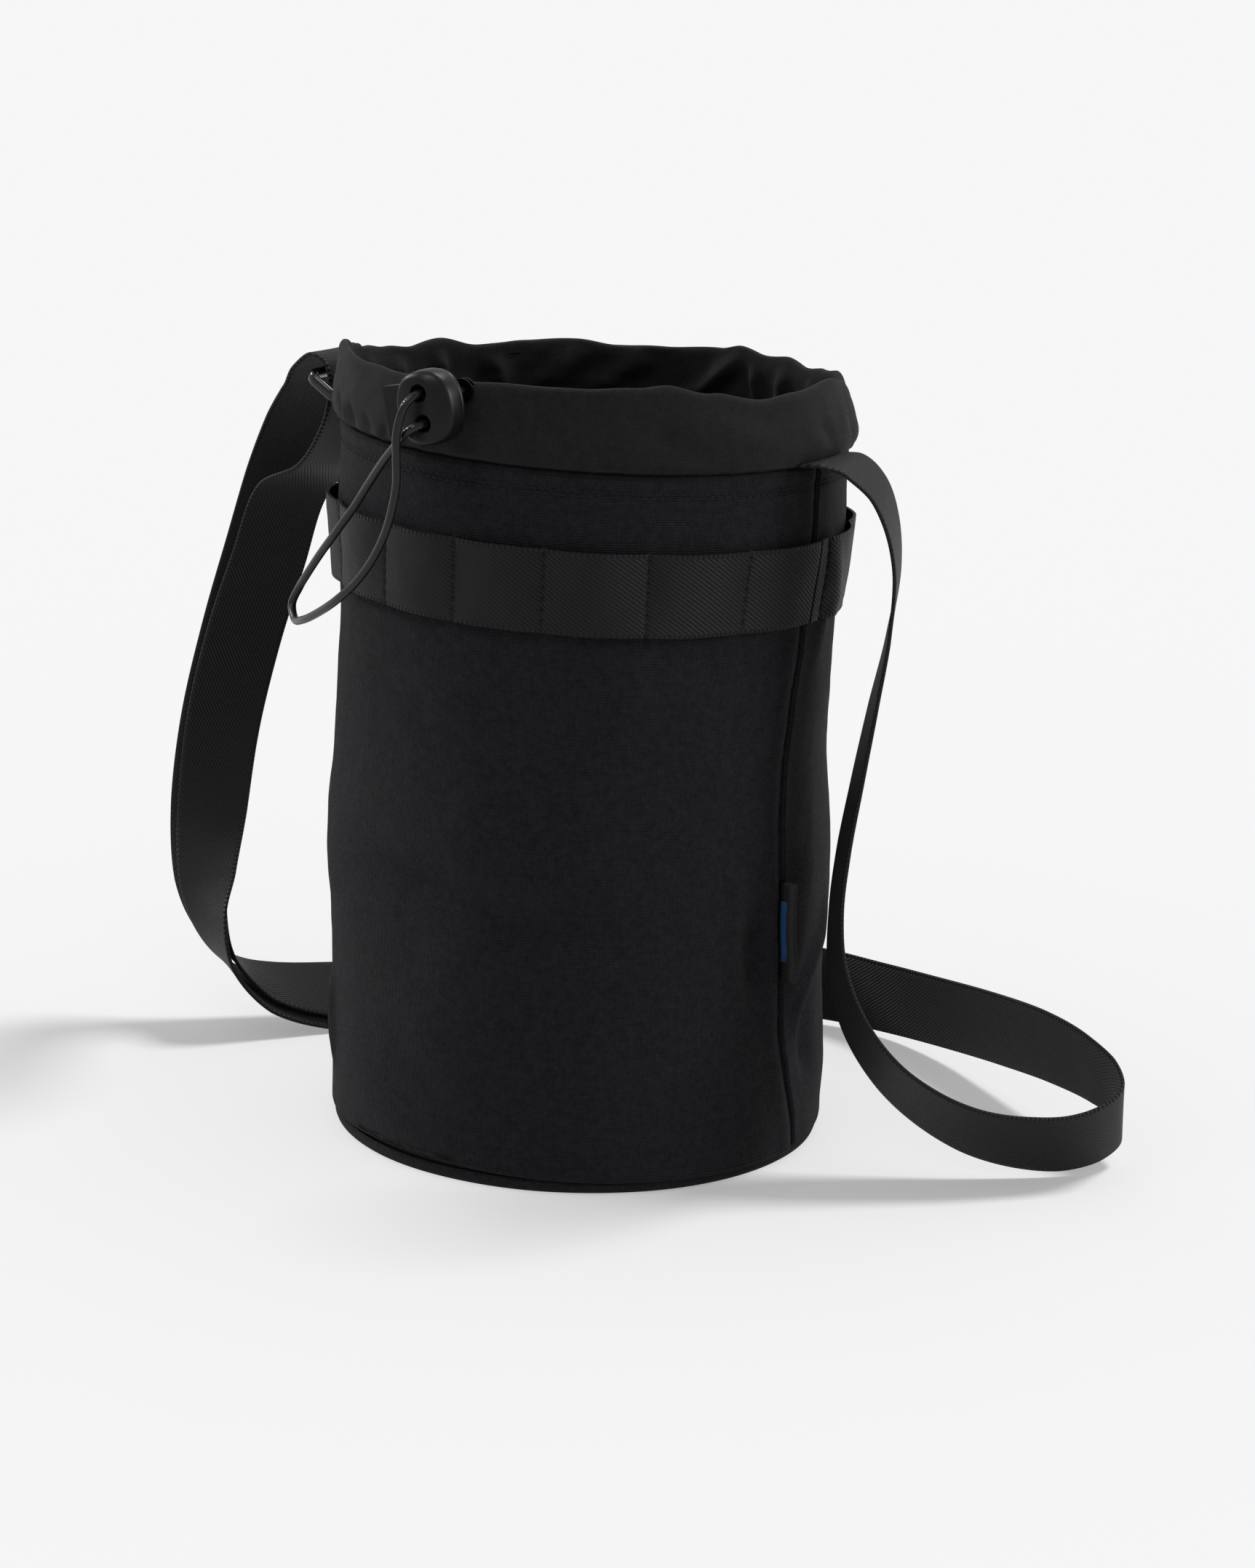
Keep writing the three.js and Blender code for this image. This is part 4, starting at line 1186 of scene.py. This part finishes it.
def add_channel_cord(name, node, start, end):
    """The part of the drawcord inside the collar, just under its rim and stretched a little thinner."""
    path = []
    for angle in spans(start, end, 2.0):
        way = math.radians(angle)
        z = table_value(RIM_HEIGHTS, angle) - 3.9 + math.cos(way)
        sway = 1.4 * collar_sway(94 * math.sin(way), -94 * math.cos(way), 294)
        gather = 0.3 * fold_height(INNER_FOLDS, angle, 292, 90.0)
        radius = CHANNEL_RADIUS + 0.8 - drawn_in(angle) - gather + sway
        path.append(Vector((radius * math.sin(way), -radius * math.cos(way), z)))
    cord = tube(name, path, 0.8 * CORD_RADIUS, 12, cord_cover)
    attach(cord, "bag")
    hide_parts(node)


def add_collar():
    """The collar: up the outside, over the rim, and down the inside, with its folds and puckers."""
    profile = refined(COLLAR_PROFILE)
    crown = max(range(len(profile)), key=lambda i: profile[i][1])
    foot = 267.0

    def place(angle, row):
        radius, z = profile[row]
        inside = smooth(row, crown - 1, crown + 4)
        rim = table_value(RIM_HEIGHTS, angle)
        x, y, low = round_the_bag(angle, radius, min(z, foot))
        share = clamp((z - foot) / (COLLAR_TOP - 0.3 - foot))
        _, _, settled_foot = round_the_bag(angle, radius, foot)
        height = low if z <= foot else settled_foot + share * (rim - settled_foot)
        back = drawn_in(angle) / 3.0
        gather = fold_height(INNER_FOLDS, angle, z, 90.0)
        outer = fold_height(COLLAR_FOLDS, angle, z, 95.0)
        soft = collar_sway(x, y, z)
        free = smooth(z, 266, 272)
        puckers = 0.5 * math.sin(math.radians(angle) * 46 + 2 * roughness_of(x, y, 0, 40))
        puckers *= bell(z - 268.5, 3.0) * (0.35 + 0.65 * bell(turn(angle + 30), 26))
        outside = (outer + soft * (0.8 + back)) * free + puckers
        draw_in = drawn_in(angle) * smooth(z, 274, 297)
        radius += (1 - inside) * outside - draw_in
        radius -= inside * gather * smooth(z, 262, 270) - inside * soft * 1.2 * free
        radius -= (1 - inside) * gather * 0.35 * smooth(z, 284, 297)
        height += free * (0.35 * roughness_of(x, y, 700, 13)) * share
        return radius * math.sin(math.radians(angle)), -radius * math.cos(math.radians(angle)), height

    lengths = [0.0]
    for (r0, z0), (r1, z1) in zip(profile, profile[1:]):
        lengths.append(lengths[-1] + math.hypot(r1 - r0, z1 - z0))

    def cloth(angle, row):
        return math.radians(angle) * 94 * MM, lengths[row] * MM

    collar = grid(
        "collar_cloth_tube",
        spans(-180, 180, 0.5)[:-1],
        list(range(len(profile))),
        place,
        collar_cloth,
        closed=True,
        cloth=cloth,
    )
    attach(collar, "bag")
    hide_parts("collar_front", "collar_back")


# ---- webbing strap ----
def strap_frames(route, steps=14):
    """Centre, edge direction and face direction at even steps along a webbing route."""
    centres = smooth_path([p[:3] for p in route], steps)
    edges = smooth_path([p[3:] for p in route], steps)
    frames = []
    for i, centre in enumerate(centres):
        along = (centres[min(i + 1, len(centres) - 1)] - centres[max(i - 1, 0)]).normalized()
        edge = edges[i] - along * edges[i].dot(along)
        edge.normalize()
        frames.append((centre, along, edge, along.cross(edge)))
    return frames


def ribbon(name, route, material, thickness=WEBBING, steps=14):
    """Flat webbing with rounded edges along a route, and its length in metres."""
    frames = strap_frames(route, steps)
    lengths = [0.0]
    for a, b in zip(frames, frames[1:]):
        lengths.append(lengths[-1] + (b[0] - a[0]).length)
    half, deep = WEBBING_WIDTH / 2, thickness / 2
    section = [(-half, 0.0), (-half + 0.15, deep * 0.7), (-half + 0.5, deep)]
    section += [(x, deep) for x in spans(-half + 2.5, half - 2.5, 5.0)]
    section += [(half - 0.5, deep), (half - 0.15, deep * 0.7), (half, 0.0)]
    section += [(x, -y) for x, y in reversed(section[1:-1])]
    sides = len(section)
    points = []
    for centre, _, edge, face in frames:
        points += [centre + edge * x + face * y for x, y in section]
    faces, uvs = ring_faces(
        len(frames),
        sides,
        across=lambda k: (section[k][0] + half, section[(k + 1) % sides][0] + half),
        along=lambda i: (lengths[i], lengths[i + 1]),
    )
    piece = mesh_object(name, points, faces, uvs, material)
    face_outwards(piece)
    return piece, lengths[-1] * MM


def slider_axes():
    """Along the strap, towards its upper edge, and out from its face, where it passes the slider."""
    along = Vector(SLIDER_ALONG)
    outward = Vector((along.y, -along.x, 0))
    lean = math.radians(SLIDER_LEAN)
    edge = Vector((0, 0, math.cos(lean))) + outward * math.sin(lean)
    return along, edge, along.cross(edge)


def return_route():
    """The layer that comes back from the ring: its own top, then beside the strap, then round the slider."""
    route = list(RETURN_TOP)
    for i, (gap, shift) in enumerate(RETURN_OFFSETS):
        index = RETURN_FIRST_POINT - i
        before, here, after = (Vector(STRAP_ROUTE[j][:3]) for j in (index - 1, index, index + 1))
        along = (after - before).normalized()
        edge = Vector(STRAP_ROUTE[index][3:])
        edge = (edge - along * edge.dot(along)).normalized()
        point = here + along.cross(edge) * gap - edge * shift
        route.append((*point, *edge))
    along, edge, face = slider_axes()
    for forward, out in RETURN_FOLD:
        point = Vector(SLIDER_CENTRE) + along * forward + face * out
        route.append((*point, *edge))
    return route


def add_straps():
    """The shoulder strap, its returning layer, the ring's tab and their stitches. Returns both straps."""
    strap, length = ribbon("shoulder_strap_webbing", STRAP_ROUTE, strap_webbing)
    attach(strap, "bag")
    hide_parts("shoulder_strap")
    back, back_length = ribbon("strap_return_webbing", return_route(), strap_webbing)
    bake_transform(back)
    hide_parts("strap_return")
    tab_route = [(x, 0, z, 0, -1, 0) for x, z in RING_TAB_ROUTE]
    tab, _ = ribbon("ring_tab_webbing", tab_route, strap_webbing, thickness=0.9, steps=6)
    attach(tab, "bag")
    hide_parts("ring_tab")

    runs = []
    for i in range(STRAP_STITCH_COUNT):
        y = -12.2 + STRAP_STITCH_PITCH * i
        for x, z in ((94.6, 266.35), (98.6, 266.75), (-95.2, 272.2)):
            runs.append((Vector((x, y, z)), Vector((0, 1, 0)), Vector((0, 0, 1))))
    sewn = stitches("strap_stitches", runs, radius=0.35, length=2.5)
    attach(sewn, "bag")
    return [strap, back]


# ---- strap ring ----
def rounded_rectangle(x0, x1, half, corner, steps=8):
    """Points round a rectangle with round corners, and the outward direction at each."""
    centres = [
        (x1 - corner, half - corner, 0),
        (x0 + corner, half - corner, 90),
        (x0 + corner, -half + corner, 180),
        (x1 - corner, -half + corner, 270),
    ]
    points = []
    for cx, cy, start in centres:
        for i in range(steps + 1):
            angle = math.radians(start + 90 * i / steps)
            way = Vector((math.cos(angle), math.sin(angle), 0))
            points.append((Vector((cx, cy, 0)) + way * corner, way))
    return points


def add_ring():
    inner = Vector((RING_INNER[0], 0, RING_INNER[1]))
    outer = Vector((RING_OUTER[0], 0, RING_OUTER[1]))
    reach = (outer - inner).length
    line = rounded_rectangle(0.0, reach, RING_CLEAR_WIDTH / 2 + RING_BAR / 2, RING_CORNER)
    along = (outer - inner).normalized()
    across = Vector((0, 1, 0))
    up = along.cross(across)
    if up.z < 0:
        up = -up
    sides = 12
    points = []
    for centre, way in line:
        for k in range(sides):
            angle = 2 * math.pi * k / sides
            c, s = math.cos(angle), math.sin(angle)
            out = math.copysign(abs(c) ** 0.7, c) * RING_BAR / 2
            rise = math.copysign(abs(s) ** 0.7, s) * RING_HEIGHT / 2
            local = centre + way * out
            points.append(inner + along * local.x + across * local.y + up * rise)
    faces, uvs = ring_faces(len(line), sides, closed=True)
    ring = mesh_object("strap_ring_moulding", points, faces, uvs, gloss_plastic)
    face_outwards(ring)
    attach(ring, "ring")
    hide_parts("strap_ring")


# ---- cord lock ----
LOCK_RINGS = [  # depth from the back, width and height as shares of the outline
    (0.0, 0.86), (0.25, 0.93), (0.8, 0.965), (1.5, 0.965), (2.0, 0.955), (2.5, 0.985),
    (3.4, 1.0), (5.0, 1.0), (6.6, 1.0), (8.0, 0.99), (9.4, 0.975), (10.3, 0.93),
    (11.0, 0.87), (11.6, 0.80), (12.1, 0.73), (12.4, 0.68),
]
LOCK_SQUARENESS = 0.86  # 1 is a plain ellipse, and less is squarer


def lock_matrix():
    roll = Matrix.Rotation(math.radians(LOCK_ROLL), 4, "Y")
    return Matrix.Translation(Vector(LOCK_CENTRE) * MM) @ roll


def cylinder(radius_back, radius_front, y0, y1, z):
    """A closed round plug along Y, for cutting, whose radius may change from one end to the other."""
    work = bmesh.new()
    bmesh.ops.create_cone(
        work,
        cap_ends=True,
        segments=40,
        radius1=radius_back * MM,
        radius2=radius_front * MM,
        depth=(y1 - y0) * MM,
    )
    turned = Matrix.Rotation(math.radians(-90), 4, "X")
    middle = Matrix.Translation((0, (y0 + y1) / 2 * MM, z * MM))
    bmesh.ops.transform(work, matrix=middle @ turned, verts=work.verts)
    mesh = bpy.data.meshes.new("plug")
    work.to_mesh(mesh)
    work.free()
    return mesh


def block(low, high):
    """A closed box between two corners, for cutting."""
    work = bmesh.new()
    bmesh.ops.create_cube(work, size=1.0)
    for vertex in work.verts:
        vertex.co = Vector([(high if vertex.co[i] > 0 else low)[i] * MM for i in range(3)])
    mesh = bpy.data.meshes.new("block")
    work.to_mesh(mesh)
    work.free()
    return mesh


def cut_away(obj, mesh):
    """Takes the solid mesh out of obj for good."""
    tool = bpy.data.objects.new("tool", mesh)
    bpy.context.scene.collection.objects.link(tool)
    modifier = obj.modifiers.new("cut", "BOOLEAN")
    modifier.object = tool
    modifier.solver = "EXACT"
    bpy.context.view_layer.update()
    evaluated = obj.evaluated_get(bpy.context.evaluated_depsgraph_get())
    cut = bpy.data.meshes.new_from_object(evaluated)
    obj.modifiers.remove(modifier)
    old = obj.data
    obj.data = cut
    bpy.data.meshes.remove(old)
    bpy.data.objects.remove(tool)
    bpy.data.meshes.remove(mesh)


def add_lock():
    """The lock's shell: a domed puck with two countersunk cord holes and a slot for the plunger."""
    sides = 96
    points = []
    for depth, share in LOCK_RINGS:
        for k in range(sides):
            angle = 2 * math.pi * k / sides
            c = math.copysign(abs(math.cos(angle)) ** LOCK_SQUARENESS, math.cos(angle))
            s = math.copysign(abs(math.sin(angle)) ** LOCK_SQUARENESS, math.sin(angle))
            lean = 1.6 * smooth(depth, 9.2, 12.4)
            x = LOCK_HALF_WIDTH * share * c - lean
            z = LOCK_HALF_HEIGHT * (share + 0.12 * smooth(depth, 9, 12.4)) * s
            points.append((x, LOCK_THICKNESS / 2 - depth, z))
    faces, uvs = ring_faces(len(LOCK_RINGS), sides)
    shell = mesh_object("cord_lock_shell", points, faces, uvs, satin_plastic)
    face_outwards(shell)
    front = -LOCK_THICKNESS / 2
    for side in (1, -1):
        z = side * LOCK_HOLE_OFFSET
        cut_away(shell, cylinder(LOCK_HOLE_RADIUS, LOCK_HOLE_RADIUS, front - 3, -front + 3, z))
        cut_away(shell, cylinder(3.6, 1.9, front - 0.3, front + 1.9, z))
    slot_depth = PLUNGER_THICKNESS / 2 + SLOT_CLEARANCE
    slot_height = PLUNGER_HEIGHT / 2 + SLOT_CLEARANCE
    cut_away(shell, block((-16.0, -slot_depth, -slot_height), (POCKET_RIGHT, slot_depth, slot_height)))
    shell.data.polygons.foreach_set("use_smooth", [True] * len(shell.data.polygons))
    shell.data.set_sharp_from_angle(angle=math.radians(38))
    shell.matrix_world = lock_matrix()
    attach(shell, "cord_lock")
    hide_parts("cord_lock_body")


def add_spring():
    """The lock's spring, which is squeezed between the shell and the bottom of the plunger's bore."""
    left, right = SPRING_ENDS
    place = lock_matrix()
    steps = 16 * SPRING_TURNS
    path = []
    for i in range(steps + 1):
        angle = 2 * math.pi * SPRING_TURNS * i / steps
        x = left + (right - left) * i / steps
        path.append((place @ (Vector((x, 1.6 * math.cos(angle), 1.6 * math.sin(angle))) * MM)) / MM)
    spring = tube("lock_spring_wire", path, SPRING_WIRE, 8, spring_steel)
    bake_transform(spring)
    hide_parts("cord_lock_spring")


def finish_cad_nodes():
    """The CAD pieces that stay get their finish and soft edges."""
    finishes = {
        "base_stiffener": (board_plastic, 0.0),
        "cord_eyelet_left": (black_brass, 0.0),
        "cord_eyelet_right": (black_brass, 0.0),
        "cord_crimp": (spring_steel, 0.2),
        "cord_lock_plunger": (satin_plastic, 0.6),
        "strap_slider": (satin_plastic, 0.5),
    }
    for node, (material, edge) in finishes.items():
        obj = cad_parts[node]
        for index in range(len(obj.material_slots)):
            obj.material_slots[index].link = "OBJECT"
            obj.material_slots[index].material = material
        if edge:
            soften(obj, edge, segments=3, angle=35)


add_camera()
add_cords()
add_panel("bag_front", "front_panel", -89.9, 89.9, 0.9)
add_panel("bag_back", "back_panel", 90.1, 269.9, -0.3)
add_hem()
add_base()
add_lining()
add_bindings()
add_ladder("ladder_band_front", "ladder_webbing_front", -89.6, 89.6)
add_ladder("ladder_band_back", "ladder_webbing_back", 90.4, 269.6)
add_ladder_stitches()
add_label()
add_collar()
add_channel_cord("channel_cord_cover_right", "channel_cord_right", 9.0, 178.6)
add_channel_cord("channel_cord_cover_left", "channel_cord_left", -9.0, -178.6)
straps = add_straps()
add_light(add_floor(), straps)
add_ring()
add_lock()
add_spring()
finish_cad_nodes()
